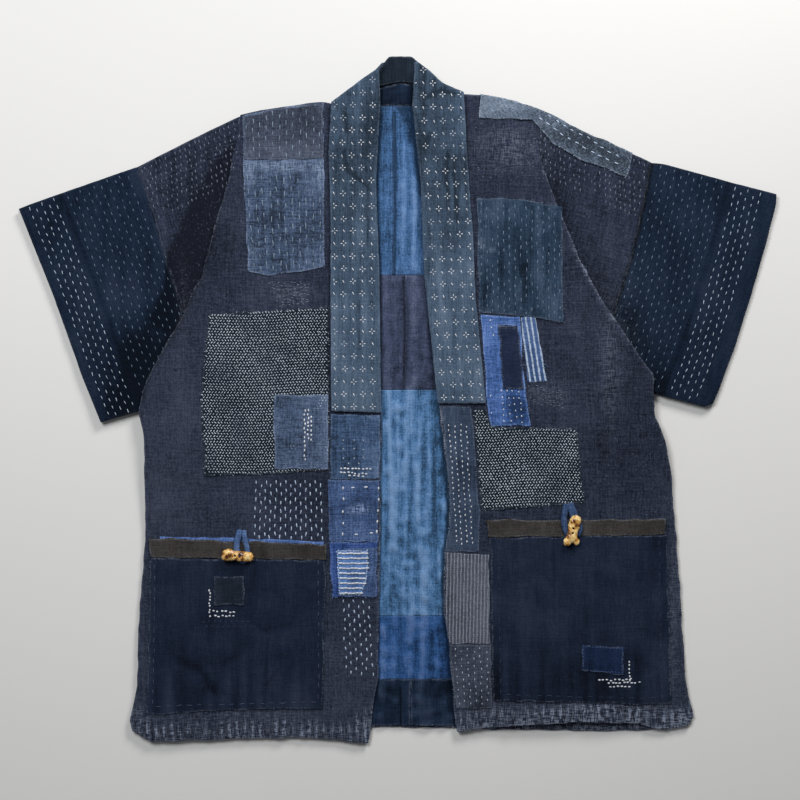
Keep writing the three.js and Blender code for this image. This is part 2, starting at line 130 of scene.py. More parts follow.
def line_distance(line, x, y):
    """Distance to a line of points, and how far along it the nearest place is, from 0 to 1."""
    line = np.asarray(line, float)
    steps = np.hypot(*np.diff(line, axis=0).T)
    nearest = np.full(np.shape(x), np.inf)
    place = np.zeros(np.shape(x))
    gone = 0.0
    for (ax, ay), (bx, by), step in zip(line[:-1], line[1:], steps):
        t = np.clip(((x - ax) * (bx - ax) + (y - ay) * (by - ay)) / step**2, 0, 1)
        distance = np.hypot(x - ax - t * (bx - ax), y - ay - t * (by - ay))
        closer = distance < nearest
        nearest = np.where(closer, distance, nearest)
        place = np.where(closer, gone + t * step, place)
        gone += step
    return nearest, place / gone


def crease(raster, line, width, height, tapered=True):
    """Adds a soft ridge along a line, or a trough where height is negative."""
    line = np.asarray(line, float)
    reach = 3 * width
    x0, y0 = np.maximum((line.min(0) - reach + (HALF_X, HALF_Y)).astype(int), 0)
    x1, y1 = (line.max(0) + reach + (HALF_X, HALF_Y)).astype(int)
    window = (slice(y0, y1), slice(x0, x1))
    distance, place = line_distance(line, GRID_X[window], GRID_Y[window])
    swell = np.sqrt(np.clip(np.sin(np.pi * place), 0, 1)) if tapered else 1.0
    raster[window] += height * swell * bell(distance, width)


def creases(raster, lines, widen=1.0, raised=1.0):
    """Adds a crease for each (line, width, height)."""
    for line, width, height in lines:
        crease(raster, line, widen * width, raised * height)


def blob(raster, x, y, half_x, half_y, amount, turn=0.0):
    """Adds a soft oval, with its half widths given before it is turned."""
    dx, dy = GRID_X - x, GRID_Y - y
    along = dx * math.cos(turn) + dy * math.sin(turn)
    aside = dy * math.cos(turn) - dx * math.sin(turn)
    raster += amount * np.exp(-((along / half_x) ** 2) - (aside / half_y) ** 2)


def blobs(raster, ovals):
    for oval in ovals:
        blob(raster, *oval)


def unit_normals(steps):
    """Directions a quarter turn to the left of these steps."""
    normals = np.column_stack([-steps[:, 1], steps[:, 0]])
    return normals / np.maximum(np.hypot(*normals.T)[:, None], 1e-6)


def gone_along(line):
    """How far along a line each of its points is, seen from above."""
    return np.concatenate([[0], np.cumsum(np.hypot(*np.diff(line[:, :2], axis=0).T))])


def points_at(line, gone, places):
    return np.column_stack([np.interp(places, gone, column) for column in line.T])


def rounded(line, times):
    """Evens out a line's bends in place, with its two ends kept."""
    for _ in range(times):
        line[1:-1] = (line[:-2] + 2 * line[1:-1] + line[2:]) / 4
    return line


# ---- the CAD nodes' outlines and heights ------------------------------------------------------------
PITCH = 6  # of the rays that find a node's top
FACET_BLUR = 14  # evens out the facets


def tree_of(node):
    mesh = NODES[node].data
    return BVHTree.FromPolygons([v.co for v in mesh.vertices], [p.vertices for p in mesh.polygons])


def heights(*names):
    """The tops of these nodes as one smooth raster, run on past their edges."""
    trees = [tree_of(name) for name in names]
    xs = np.arange(-HALF_X, HALF_X + 1, PITCH)
    ys = np.arange(-HALF_Y, HALF_Y + 1, PITCH)
    down = Vector((0, 0, -1))
    tops = np.full((len(ys), len(xs)), np.nan)
    for i, y in enumerate(ys):
        for j, x in enumerate(xs):
            hits = [tree.ray_cast(Vector((x * MM, y * MM, 1)), down)[0] for tree in trees]
            found = [hit.z / MM for hit in hits if hit is not None]
            if found:
                tops[i, j] = max(found)
    known = np.isfinite(tops)
    cells = FACET_BLUR / PITCH
    weight = blur(known.astype(float), cells)
    middle = np.nanmean(tops)
    spread = blur(np.where(known, tops - middle, 0), cells) / np.maximum(weight, 1e-3)
    fine = bilinear(spread + middle, (GRID_X + HALF_X) / PITCH, (GRID_Y + HALF_Y) / PITCH)
    return blur(fine, 3)


def polygon_area(points):
    x, y = np.asarray(points).T
    return 0.5 * np.sum(x * np.roll(y, -1) - np.roll(x, -1) * y)


def outline_of(node):
    """The edge of what shows of a node from above, anticlockwise."""
    mesh = NODES[node].data
    tree = tree_of(node)
    up = Vector((0, 0, 1))
    key = {v.index: tuple(round(c / MM, 2) for c in v.co) for v in mesh.vertices}
    edges = set()
    for face in mesh.polygons:
        if face.normal.z > 0.5 and tree.ray_cast(face.center + up * 1e-5, up)[0] is None:
            corners = [key[i] for i in face.vertices]
            edges.update(zip(corners, corners[1:] + corners[:1]))
    after = {a: b for a, b in edges if (b, a) not in edges}
    loops = []
    while after:
        start, place = after.popitem()
        loop = [start]
        while place != start:
            loop.append(place)
            place = after.pop(place)
        loops.append(np.array([(x, y) for x, y, z in loop]))
    return max(loops, key=lambda loop: abs(polygon_area(loop)))


def inside(outline, x, y):
    odd = np.zeros(np.shape(x), bool)
    for (ax, ay), (bx, by) in zip(outline, np.roll(outline, -1, axis=0)):
        if ay != by:
            crossing = (ay > y) != (by > y)
            odd ^= crossing & (x < ax + (bx - ax) * (y - ay) / (by - ay))
    return odd


def in_node(node):
    return inside(OUTLINES[node], GRID_X, GRID_Y)


def soft_area(corners, soften):
    """A raster that is 1 inside a polygon and fades to 0 over its edge."""
    return blur(inside(corners, GRID_X, GRID_Y).astype(float), soften)


def shade_areas(raster, shades):
    """Adds an amount inside each polygon: (corners, amount, width of its soft edge)."""
    for corners, amount, soften in shades:
        raster += amount * soft_area(corners, soften)


CLOTH_NODES = [name for name in sorted(NODES) if not name.startswith(("toggle", "loop"))]
SIDES = ("left", "right")
OUTLINES = {name: outline_of(name) for name in CLOTH_NODES}
STRIP_NODE = "shoulder_strip_right"
WRAP = 2.2  # how far the shoulder strip turns over the shoulder's edge
OUTWARD = np.array([0.35, 0.94])
COLLAR_TIP = 395  # above this the lapels' points are too thin to be cloth
FOLD_NUDGE = 5.0  # the left fold runs a little straighter under the arm than its node
LIP_TUCK = 1.4  # how far the pocket's blue lip goes down behind its band
on_edge = ~np.any([
    inside(OUTLINES[name], *(OUTLINES[STRIP_NODE] + 5 * OUTWARD).T)
    for name in ("front_right", "sleeve_right", "cuff_right", "back_right")
], axis=0)
OUTLINES[STRIP_NODE] = OUTLINES[STRIP_NODE] + np.outer(on_edge, WRAP * OUTWARD)
NUDGE_TOP, NUDGE_LENGTH = 128, 118  # the stretch of the left fold that is nudged
bulge = np.sin(np.pi * np.clip((NUDGE_TOP - OUTLINES["front_left"][:, 1]) / NUDGE_LENGTH, 0, 1))
OUTLINES["front_left"][:, 0] += FOLD_NUDGE * bulge * (OUTLINES["front_left"][:, 0] < -200)
for name in ("collar_left", "collar_right"):
    OUTLINES[name] = OUTLINES[name][OUTLINES[name][:, 1] < COLLAR_TIP]
OUTLINES["pocket_lip_left"] = OUTLINES["pocket_lip_left"] - (0, LIP_TUCK)


def edge_part(node, keep):
    """The stretch of a node's outline whose points pass a test, in order."""
    points = OUTLINES[node]
    kept = np.array([keep(x, y) for x, y in points])
    start = next(i for i in range(len(points)) if kept[i] and not kept[i - 1])
    points, kept = np.roll(points, -start, axis=0), np.roll(kept, -start)
    return points[: len(kept) if kept.all() else int(np.argmin(kept))]


UNDERARM = -25
FOLD_LEFT = edge_part("front_left", lambda x, y: y > UNDERARM and x < -182)
FOLD_RIGHT = edge_part("front_right", lambda x, y: y > UNDERARM and x > 159)
EDGE_LEFT = edge_part("front_left", lambda x, y: y < -10 and x > -33)
EDGE_RIGHT = edge_part("front_right", lambda x, y: y < -2 and x < 66)

FRONT = heights("front_left", "front_right")
SLEEVE = heights("sleeve_left", "cuff_left", "sleeve_right", "cuff_right")
COLLAR = heights("collar_left", "collar_right")

# ---- the cloth's relief -----------------------------------------------------------------------------
to_fold_left, _ = line_distance(FOLD_LEFT, GRID_X, GRID_Y)
to_fold_right, _ = line_distance(FOLD_RIGHT, GRID_X, GRID_Y)
to_fold = np.minimum(to_fold_left, to_fold_right)
in_fronts = in_node("front_left") | in_node("front_right")

# the cloth's folds and puckers are made of creases: line, half width and height
relief = 1.6 + 0.9 * rough(11, 38) + 0.5 * rough(12, 13) + 0.2 * rough(13, 4) + 0.3 * rough(14, 3, 38)
PUCKERED = [(95, 232), (192, 226), (194, 94), (95, 106)]
relief += 0.6 * rough(15, 3, 24) * soft_area(PUCKERED, 4)
BODY_RIDGES = [
    (FOLD_LEFT[FOLD_LEFT[:, 1] < 285], 11, 3.2), (FOLD_RIGHT[FOLD_RIGHT[:, 1] < 275], 9, 2.4),
    (EDGE_RIGHT, 12, 2.6), (EDGE_LEFT, 12, 1.4), ([(244, 75), (238, 10), (243, -40)], 7, 1.8),
    ([(262, 40), (256, -10), (262, -60)], 6, 1.3), ([(222, 150), (206, 80), (212, 30)], 8, 1.5),
    ([(-262, 60), (-252, -20), (-258, -90)], 9, 1.4), ([(-284, -60), (-280, -120), (-286, -170)], 7, 1.2),
    ([(-120, 145), (-118, 115), (-124, 95)], 6, 1.0), ([(300, -60), (306, -120), (312, -150)], 7, 1.3),
    ([(214, -165), (209, -240), (212, -330)], 4, 1.1),
    ([(-130, -300), (-150, -325), (-170, -355)], 4, 1.3),
    ([(-240, -300), (-210, -330), (-200, -360)], 6, 0.8),
    ([(140, -190), (146, -260), (142, -330)], 7, 0.8),
]
BODY_TROUGHS = [
    ([(253, 78), (248, 10), (254, -50)], 5, -1.4), ([(233, 140), (218, 80), (226, 20)], 6, -1.2),
    ([(-206, 200), (-190, 120), (-200, 60)], 14, -0.9),
    ([(-123, -292), (-142, -318), (-162, -350)], 4, -1.2),
    ([(205, -165), (201, -240), (204, -330)], 4, -0.9), ([(-140, 120), (-150, 60), (-146, -60)], 5, -0.5),
    ([(-200, -4), (-177, -13), (-144, -9)], 3.5, -1.3), ([(-135, 41), (-108, 38), (-80, 36)], 3.0, -0.9),
    ([(-150, 58), (-115, 54), (-82, 57)], 3.0, -0.7), ([(-112, 100), (-108, 86), (-111, 70)], 3.0, -0.9),
    ([(-265, -286), (-250, -307), (-228, -321)], 8, -1.8),
    ([(-227, -318), (-219, -336), (-200, -347)], 3.5, -2.4),
    ([(-176, -262), (-152, -272), (-110, -262)], 5, -0.8),
    ([(165, -203), (176, -216), (186, -232)], 4.5, -1.2),
    ([(194, -305), (208, -320), (226, -333)], 5, -1.2),
    ([(133, 192), (144, 164), (150, 131), (156, 108)], 5, -1.4),
    ([(114, 168), (121, 150), (127, 134)], 4, -1.0), ([(131, 36), (138, 22), (147, 10)], 2.5, -0.8),
    ([(182, -160), (182.5, -200), (184, -262)], 1.3, -1.1),
    ([(176, -160), (177, -205), (179, -255)], 3.2, 0.7),
]
creases(relief, BODY_RIDGES + BODY_TROUGHS, raised=1.35)

HEM_RIB = 9.4  # from one gather of the hem to the next
HEM_BAND = 26
HEM_TOP = -370
hem_crest = np.cos(2 * np.pi * (GRID_X + 1.2 * rough(21, 12)) / HEM_RIB)
hem_near = np.zeros(GRID_X.shape)
hem_deep = np.full(GRID_X.shape, 1.0)
for node in ("front_left", "front_right"):
    hem = edge_part(node, lambda x, y: y < HEM_TOP)
    to_hem, _ = line_distance(hem, GRID_X, GRID_Y)
    hem_near = np.maximum(hem_near, ease(to_hem, HEM_BAND, 8))
    hem_deep = np.minimum(hem_deep, 0.3 + 0.7 * ease(to_hem, 0, 8))
relief += 1.3 * hem_crest * hem_near * hem_deep * (0.8 + 0.3 * rough(22, 14))

# where cloth runs on unbroken from the fronts into the sleeves, next to the shoulders
joined = ease(GRID_Y, 268, 300) * ease(to_fold, 34, 4)
relief = np.maximum(relief, 0.25)
front_top = FRONT + relief * ease(to_fold, -1, 6)
sleeve_relief = 0.9 + 0.6 * rough(31, 30) + 0.3 * rough(32, 10) + 0.1 * rough(33, 3.5)
SLEEVE_CREASES = [
    ([(-205, 262), (-232, 165), (-262, 95), (-300, 20)], 15, -1.6),
    ([(-150, 300), (-190, 250), (-222, 190)], 9, 0.9), ([(-225, 270), (-245, 200), (-262, 130)], 10, 1.2),
    ([(-300, 190), (-325, 110), (-330, 40)], 12, 1.1), ([(-390, 190), (-360, 110), (-330, 20)], 14, 0.8),
    ([(205, 262), (236, 165), (262, 100), (300, 40)], 12, -1.2),
    ([(215, 285), (243, 210), (260, 140)], 10, 1.1), ([(300, 220), (312, 150), (330, 60)], 12, 1.0),
    ([(390, 210), (372, 130), (350, 50)], 14, 0.8),
]
creases(sleeve_relief, SLEEVE_CREASES)
sleeve_relief = np.maximum(sleeve_relief, 0.0)


def span_at(outline, y):
    """The lowest and highest X of an outline at a height y."""
    found = []
    for (ax, ay), (bx, by) in zip(outline, np.roll(outline, -1, axis=0)):
        if (ay > y) != (by > y):
            found.append(ax + (bx - ax) * (y - ay) / (by - ay))
    return min(found), max(found)


def cuff_hem(node):
    """A cuff's open edge, from its top corner down."""
    points = OUTLINES[node]
    left = node.endswith("left")
    outer = points[np.argmin(points[:, 0])] if left else points[np.argmax(points[:, 0])]
    levels = np.linspace(outer[1] - 1, points[:, 1].min() + 4, 24)
    line = np.array([(span_at(points, y)[0 if left else 1], y) for y in levels])
    return rounded(line, 8)


# the cuffs' rows of stitches, by their distance from the open edge, and the tuck gathered between
CUFF_HEMS = {side: cuff_hem(f"cuff_{side}") for side in SIDES}
FIRST_ROW = {"left": 12.0, "right": 20.5}
BOLD_STEP, FAINT_STEP = 7.6, 8.2
BOLD_ROWS = {side: [first + BOLD_STEP * k for k in range(5)] for side, first in FIRST_ROW.items()}
GATHERED = {side: bold[-1] + 9 for side, bold in BOLD_ROWS.items()}
FAINT_ROWS = {side: [tuck + 7 + FAINT_STEP * k for k in range(10)] for side, tuck in GATHERED.items()}
SEAM_DEPTH = {"left": 0.6, "right": 2.0}
GATHER_PITCH = 6.5
SEAMS = {}


def inward_of(side, x, y):
    return float(line_distance(CUFF_HEMS[side], x, y)[0])


for side, hem in CUFF_HEMS.items():
    inward, _ = line_distance(hem, GRID_X, GRID_Y)
    tuck = GATHERED[side]
    furrow = np.zeros(GRID_X.shape)
    furrows = [(BOLD_ROWS[side], 0.45, 1.8), (FAINT_ROWS[side], 0.3, 2.0), ([tuck], 0.5, 1.6)]
    for insets, depth, width in furrows:
        for inset in insets:
            furrow -= depth * bell(inward - inset, width)
    gathers = np.cos(2 * np.pi * (GRID_Y + 0.3 * GRID_X + 1.5 * rough(24, 10)) / GATHER_PITCH)
    furrow += 0.35 * gathers * bell(inward - tuck, 4.5)
    furrow += 0.35 * gathers * ease(inward, 9, 2)
    sleeve_relief += np.where(in_node(f"cuff_{side}"), furrow + 0.25, 0)
    seam = edge_part(f"cuff_{side}", lambda x, y: 100 < abs(x) < 338 and inward_of(side, x, y) > 60)
    SEAMS[side] = line_distance(seam, GRID_X, GRID_Y)[0]
    sleeve_relief -= SEAM_DEPTH[side] * bell(SEAMS[side], 1.7)
sleeve_top = SLEEVE + sleeve_relief
front_top += joined * (sleeve_top + 0.2 - front_top)
sleeve_top -= 3.0 * joined * np.where(in_fronts, ease(to_fold, 3, 12), 0)

# the shoulder strip lies on the highest cloth within STRIP_REACH of each place
STRIP_REACH = 4
over_shoulder = np.where(in_fronts, front_top, sleeve_top)
shoulder = over_shoulder.copy()
for turn in range(8):
    angle = turn * math.pi / 4
    moved = (round(STRIP_REACH * math.sin(angle)), round(STRIP_REACH * math.cos(angle)))
    over_shoulder = np.maximum(over_shoulder, np.roll(shoulder, moved, axis=(0, 1)))
over_shoulder = blur(over_shoulder, 3)
ripple = 0.6 * rough(41, 9) + 0.4 * rough(42, 3)
pucker = 0.55 * rough(43, 2.2, 26) + 0.25 * rough(44, 9)
collar_relief = 0.9 + 0.95 * np.maximum(pucker, -1.4) + 0.4 * rough(45, 24)
COLLAR_CREASES = [
    ([(-57, 268), (-42, 254), (-30, 243)], 2.4, -2.4), ([(-76, 347), (-62, 332), (-57, 306)], 3.6, -1.6),
    ([(-63, 292), (-60, 275), (-57, 262)], 2.8, -1.6), ([(-54, 230), (-52, 205), (-53, 176)], 2.6, -1.2),
    ([(-36, 226), (-34, 200), (-35, 176)], 2.4, -1.2), ([(-47, 130), (-44, 80), (-46, 30)], 3.0, -1.1),
    ([(32, 350), (52, 359), (68, 353)], 3.4, -1.4), ([(58.5, 292), (57, 256), (60, 214)], 2.6, -2.2),
    ([(67, 288), (65.5, 262), (67.5, 240), (69, 205)], 2.4, -2.0),
    ([(39, 313), (35, 300), (30, 286)], 3.0, -1.3), ([(80, 300), (78, 260), (83, 225)], 2.6, -1.1),
    ([(62, 120), (66, 80), (66, 30)], 3.0, -1.2), ([(46, 180), (50, 120), (56, 60)], 3.4, 1.0),
]
creases(collar_relief, COLLAR_CREASES)
collar_relief = np.maximum(collar_relief, 0.0)
collar_top = COLLAR + np.maximum(relief, 0) + collar_relief

in_collars = in_node("collar_left") | in_node("collar_right")
open_middle = ease(blur((~(in_fronts | in_collars)).astype(float), 3), 0.55, 1.0)
wrinkle = 0.75 * rough(51, 2.2, 30) + 0.5 * rough(52, 6, 60) + 0.5 * rough(53, 3.2)
wrinkle *= 0.45 + 0.55 * ease(GRID_Y, 60, 0)
lining_relief = 1.3 + 1.15 * np.clip(wrinkle, -1.3, 2.4)
LINING_CREASES = [
    ([(40, 2), (43, -140), (47, -280)], 3.0, -1.4), ([(-10, 10), (-8, -120), (-12, -240)], 3.2, 1.2),
    ([(12, 0), (16, -100), (10, -250)], 2.6, -1.1), ([(27, -10), (24, -120), (30, -240)], 3.4, 1.3),
    ([(6, 335), (8, 240), (5, 150)], 3.0, 1.0), ([(-4, 335), (-2, 240), (-4, 150)], 2.2, -1.4),
    ([(16, 300), (20, 220), (17, 150)], 3.2, 0.9), ([(8, 140), (10, 80), (7, 15)], 2.0, -1.2),
]
creases(lining_relief, LINING_CREASES, raised=1.6)
SEAM_LINES = [[(-3.5, 336), (-2.5, 240), (-4, 146)], [(7, 144), (8.5, 80), (7, 14)], [(3, -335), (4, -395)]]
for line in SEAM_LINES:
    crease(lining_relief, line, 1.1, -1.6, tapered=False)
to_seam_lines = np.min([line_distance(line, GRID_X, GRID_Y)[0] for line in SEAM_LINES], axis=0)
seam_lines_near = ease(to_seam_lines, 6, 4)
lining_relief = np.maximum(lining_relief, 0.05) * open_middle
# painted shade in the lining's low places and painted highlight on its high places, from its relief
lining_tone = 0.34 * (lining_relief - blur(lining_relief, 5)) + 0.12 * (blur(lining_relief, 5) - 1.3)
lining_tone += 0.05 * rough(54, 3, 30) + 0.08 * rough(55, 12)
for line in SEAM_LINES:
    crease(lining_tone, line, 0.8, -0.6, tapered=False)
# tints of the lining's panels, and painted shadows that the right lapel, the collar and the right front's
# edge cast on it
LINING_TINTS_AND_SHADOWS = [
    # painted shadow of the right lapel
    ([(34, 336), (60, 336), (66, 120), (52, 96), (47, 160), (38, 225), (27, 290)], -0.34, 4),
    # painted shadow of the right front's edge
    ([(43, 0), (64, 0), (70, -120), (68, -250), (66, -340), (50, -340), (47, -200), (42, -80)], -0.42, 3),
    ([(-26, 336), (-4, 336), (-4, 146), (-26, 146)], -0.28, 2),
    ([(-2, 300), (14, 290), (24, 235), (30, 150), (-2, 150)], 0.12, 4),
    # painted shadow of the collar
    ([(2, 342), (30, 342), (36, 225), (27, 235), (18, 285)], -0.55, 4),
    ([(-30, 374), (40, 374), (40, 338), (-30, 338)], -0.15, 1),
    ([(-14, 8), (34, 8), (38, -120), (-14, -120)], 0.14, 10),
    ([(-14, -150), (30, -150), (30, -262), (-14, -262)], -0.10, 10),
    ([(-18, -335), (3, -335), (4, -400), (-20, -400)], -0.15, 2),
    ([(14, -264), (48, -264), (52, -336), (30, -336)], -0.14, 6),
]
shade_areas(lining_tone, LINING_TINTS_AND_SHADOWS)

# ---- tone: lighter above zero and darker below, from faded dye and from painted shade and highlights; wear: rubbed down to pale threads ---
tone = 0.05 * rough(61, 40) + 0.05 * rough(62, 14) + 0.03 * rough(63, 2, 30)
wear = np.zeros(GRID_X.shape)
# each oval below is x, y, half width, half height, amount and, where it isn't 0, turn
TONES = [
    (-305, 165, 26, 80, 0.16, 0.25), (-345, 150, 24, 70, 0.06, 0.3), (330, 150, 30, 70, 0.06, -0.3),
    (-262, 40, 26, 60, 0.10, 0.3), (-130, 290, 40, 40, 0.02), (250, 60, 30, 80, 0.10),
    (120, 290, 45, 40, 0.10), (-60, -360, 60, 40, 0.08), (320, -330, 22, 60, 0.12),
    (-300, -330, 18, 70, 0.10), (-190, -120, 60, 40, 0.06), (300, -100, 30, 60, 0.06),
    (-255, -76, 50, 70, 0.34), (-55, -328, 36, 64, 0.24), (-200, 176, 22, 70, -0.26, -0.25),
    (-216, 176, 14, 26, -0.20), (117, 281, 34, 44, -0.20), (262, 18, 34, 60, -0.26),
    (-140, -150, 60, 40, 0.10),
]
blobs(tone, TONES)
# painted highlight along the ridges and painted shade in the troughs
creases(tone, BODY_RIDGES[4:] + BODY_TROUGHS, raised=0.07)
# painted shadow along the left fold
tone -= 0.45 * bell(to_fold_left, 5) * ease(GRID_Y, -20, 30) * ease(GRID_Y, 235, 190)
sleeve_tone = tone.copy()
PAINTED_FOLD_SHADOWS = [  # painted shadow in the valleys beside the fronts' folds and under the arms
    ([(-150, 318), (-194, 292), (-210, 272), (-223, 253), (-239, 225), (-243, 216), (-264, 172), (-272, 130),
      (-284, 92), (-230, 60), (-190, 100), (-150, 200)], -1.15, 4),
    ([(-250, 130), (-292, 104), (-309, 76), (-322, 40), (-336, 4), (-345, -30), (-250, -30)], -0.55, 10),
    ([(176, 262), (214, 205), (244, 150), (268, 112), (300, 66), (318, 6), (250, 6), (200, 120),
      (176, 200)], -0.30, 6),
]
shade_areas(sleeve_tone, PAINTED_FOLD_SHADOWS)
sleeve_tone += 0.06 * rough(66, 3, 30) + 0.06 * rough(65, 20)
for side, share in (("left", 1.4), ("right", 1.0)):
    sleeve_tone -= 0.12 * np.where(in_node(f"sleeve_{side}"), share, 0)
sleeve_tone -= 0.9 * bell(SEAMS["right"], 1.6)
sleeve_tone += 0.22 * bell(SEAMS["left"] - 7, 7) * (GRID_X < -270) * ease(GRID_Y, 90, 140)
# painted shade along each cuff's gathered tuck
for side, hem in CUFF_HEMS.items():
    inward, _ = line_distance(hem, GRID_X, GRID_Y)
    sleeve_tone -= 0.25 * bell(inward - GATHERED[side], 3.5) * (np.abs(GRID_X) > 200)
WEARS = [
    (-125, 124, 24, 12, 0.35), (176, 8, 26, 12, 0.30), (128, 294, 38, 26, 0.40), (-200, -260, 30, 6, 0.2),
    (247, 30, 8, 60, 0.3), (-250, 110, 6, 50, 0.15), (340, -372, 14, 12, 0.9), (90, -383, 30, 6, 0.5),
    (250, -362, 70, 12, 0.45), (120, -366, 50, 14, 0.35), (-200, -366, 110, 14, 0.25),
    (320, -250, 10, 90, 0.25), (-316, -300, 8, 80, 0.3), (-150, 200, 60, 50, 0.08),
    (250, 60, 30, 90, 0.12),
]
blobs(wear, WEARS)
speckled = np.clip(0.6 + 0.5 * rough(64, 5), 0, 1.4)
wear += hem_near * (0.35 + 2.3 * np.clip(hem_crest, 0, 1) ** 2 * speckled)
to_lower_edge, _ = line_distance(edge_part("front_right", lambda x, y: y < HEM_TOP), GRID_X, GRID_Y)
wear += 1.3 * ease(to_lower_edge, 6, 1) * speckled
right_stretch = ease(GRID_Y, 60, 120) * ease(GRID_Y, 290, 250)
wear += 0.9 * ease(to_fold_right, 4, 0.5) * right_stretch * in_fronts * speckled
wear += 0.12 * ease(to_fold_left, 4, 0.5) * ease(GRID_Y, -10, 40) * ease(GRID_Y, 270, 220) * in_fronts
wear += 1.5 * ease(line_distance(EDGE_RIGHT, GRID_X, GRID_Y)[0], 4.5, 1.2) * speckled
wear += 0.35 * ease(line_distance(EDGE_LEFT, GRID_X, GRID_Y)[0], 3.0, 0.5) * speckled
# painted light on the crests of the hem's gathers and painted shade between them, a little darker overall
# near the hem
tone += hem_near * (0.20 * hem_crest - 0.06)

# patches have marks of their own, and painted shade and highlights along their creases
patch_tone = np.zeros(GRID_X.shape)
patch_wear = np.zeros(GRID_X.shape)
# the ovals at (136, 188), (147, 150), (156, 118), (120, 152), (-250, -300), (-215, -333) and (205, -320) are
# painted shade along creases
PATCH_TONES = [
    (136, 188, 8, 26, -0.30, 0.2), (147, 150, 9, 30, -0.38, 0.2), (156, 118, 9, 22, -0.34, 0.2),
    (120, 152, 7, 22, -0.25, 0.2), (160, 212, 16, 20, 0.14), (104, 200, 10, 30, 0.08),
    (-250, -300, 26, 22, -0.20, -0.6), (-215, -333, 9, 18, -0.32, -0.7), (-130, -240, 40, 50, 0.10),
    (140, -240, 14, 70, 0.10), (260, -220, 30, 60, 0.06), (205, -320, 20, 14, -0.15),
    (-133, 322, 60, 14, -0.18), (-133, 292, 60, 7, 0.16), (-110, 284, 46, 8, 0.22),
    (-155, 205, 18, 40, -0.18), (-106, 200, 14, 46, -0.16), (138, -6, 12, 16, -0.40),
    (-50, -70, 18, 10, -0.05), (150, -262, 62, 110, 0.42), (200, 308, 60, 20, -0.42, -0.45),
    (250, 280, 40, 20, -0.20, -0.45), (120, 345, 36, 14, 0.18),
]
blobs(patch_tone, PATCH_TONES)
# painted shade in the pockets' creases and painted highlights along their folds: line, half width and amount
POCKET_CREASE_SHADE_AND_HIGHLIGHT = [
    ([(182, -160), (182.5, -200), (184, -262)], 1.5, -0.30),
    ([(184.5, -205), (185, -235), (186, -262)], 1.2, 0.25),
    ([(-226, -319), (-219, -336), (-206, -348)], 3.2, -0.40),
    ([(-258, -299), (-240, -310), (-226, -316)], 5.0, -0.25),
    ([(-206, -309), (-194, -300), (-182, -296)], 4.0, -0.22),
    ([(-166, -262), (-156, -268), (-146, -264)], 1.6, -0.25),
    ([(-152, -290), (-153, -320), (-150, -345)], 1.4, -0.20),
    ([(-222, -300), (-212, -285), (-196, -280)], 6.0, 0.12),
    ([(140, -210), (146, -228), (150, -250)], 2.0, 0.12),
    ([(152, -205), (160, -222), (166, -240)], 2.0, -0.15),
    ([(226, -200), (228, -228), (226, -250)], 2.0, 0.10),
    ([(201, -330), (208, -338), (214, -346)], 2.0, -0.16),
]
creases(patch_tone, POCKET_CREASE_SHADE_AND_HIGHLIGHT)
patch_tone += 0.16 * rough(67, 2.6, 26) * soft_area(PUCKERED, 3)
PLEATED = [(-182, 272), (-84, 272), (-84, 154), (-170, 154)]
patch_tone += (0.08 * rough(74, 1.8, 30) - 0.10) * soft_area(PLEATED, 4)
PATCH_WEARS = [
    (98.5, 180, 4, 5, 1.0), (110, 175, 3, 4, 0.7), (-44, -126.5, 8, 4.2, 2.2), (-55, -129, 4, 3, 1.2),
    (-133, 272, 46, 6, 0.75), (-92, 262, 5, 14, 0.7), (-172, 262, 6, 16, 0.5), (-170, 170, 8, 12, 0.35),
    (130, 342, 40, 8, 0.55), (180, 322, 16, 8, 0.5), (101, 101, 10, 4, 0.5), (130, 86, 20, 3, 0.6),
]
blobs(patch_wear, PATCH_WEARS)

collar_tone = -0.24 * ease(GRID_Y, 190, 290) + 0.05 * ease(GRID_Y, 120, 20) + 0.07 * rough(68, 2.6, 24)
# painted shade in the collar's low places and creases, and painted highlight on its high places and ridges
collar_tone += 0.05 * rough(69, 12) + 0.10 * (blur(collar_relief, 1) - 0.9)
creases(collar_tone, COLLAR_CREASES, widen=0.8, raised=0.17)


# ---- stitches: each mark is x, y, angle, length, width ----------------------------------------------
def row(start, end, count, length, width=1.2, wander=0.45, turn=0.07, seed=0):
    """Stitches in a row from start to end."""
    rng = np.random.default_rng(seed)
    start, end = np.asarray(start, float), np.asarray(end, float)
    t = np.linspace(0, 1, count)[:, None]
    places = start + (end - start) * t + rng.normal(0, wander, (count, 2))
    heading = math.atan2(*(end - start)[::-1])
    angles = heading + rng.normal(0, turn, count)
    lengths = length * rng.uniform(0.8, 1.15, count)
    widths = width * rng.uniform(0.85, 1.15, count)
    return np.column_stack([places, angles, lengths, widths])


def rows(first, last, number, count, length, width=1.2, wander=0.45, turn=0.07, seed=0, stagger=0.0):
    """Rows of stitches evenly between a first row and a last, each given by its ends."""
    first, last = np.asarray(first, float), np.asarray(last, float)
    made = []
    for k in range(number):
        ends = first + (last - first) * (k / max(number - 1, 1))
        shift = (ends[1] - ends[0]) * (stagger * (k % 2) / max(count - 1, 1))
        made.append(row(ends[0] + shift, ends[1] + shift, count, length, width, wander, turn, seed + k))
    return np.concatenate(made)


def keep_inside(marks, node, margin=1.5, avoid=()):
    x, y = marks[:, 0], marks[:, 1]
    edge = OUTLINES[node]
    distance, _ = line_distance(np.vstack([edge, edge[:1]]), x, y)
    kept = inside(edge, x, y) & (distance > margin)
    for other in avoid:
        kept &= ~inside(OUTLINES[other], x, y)
    return marks[kept]


def thinned(marks, share, seed):
    return marks[np.random.default_rng(seed).random(len(marks)) < share]


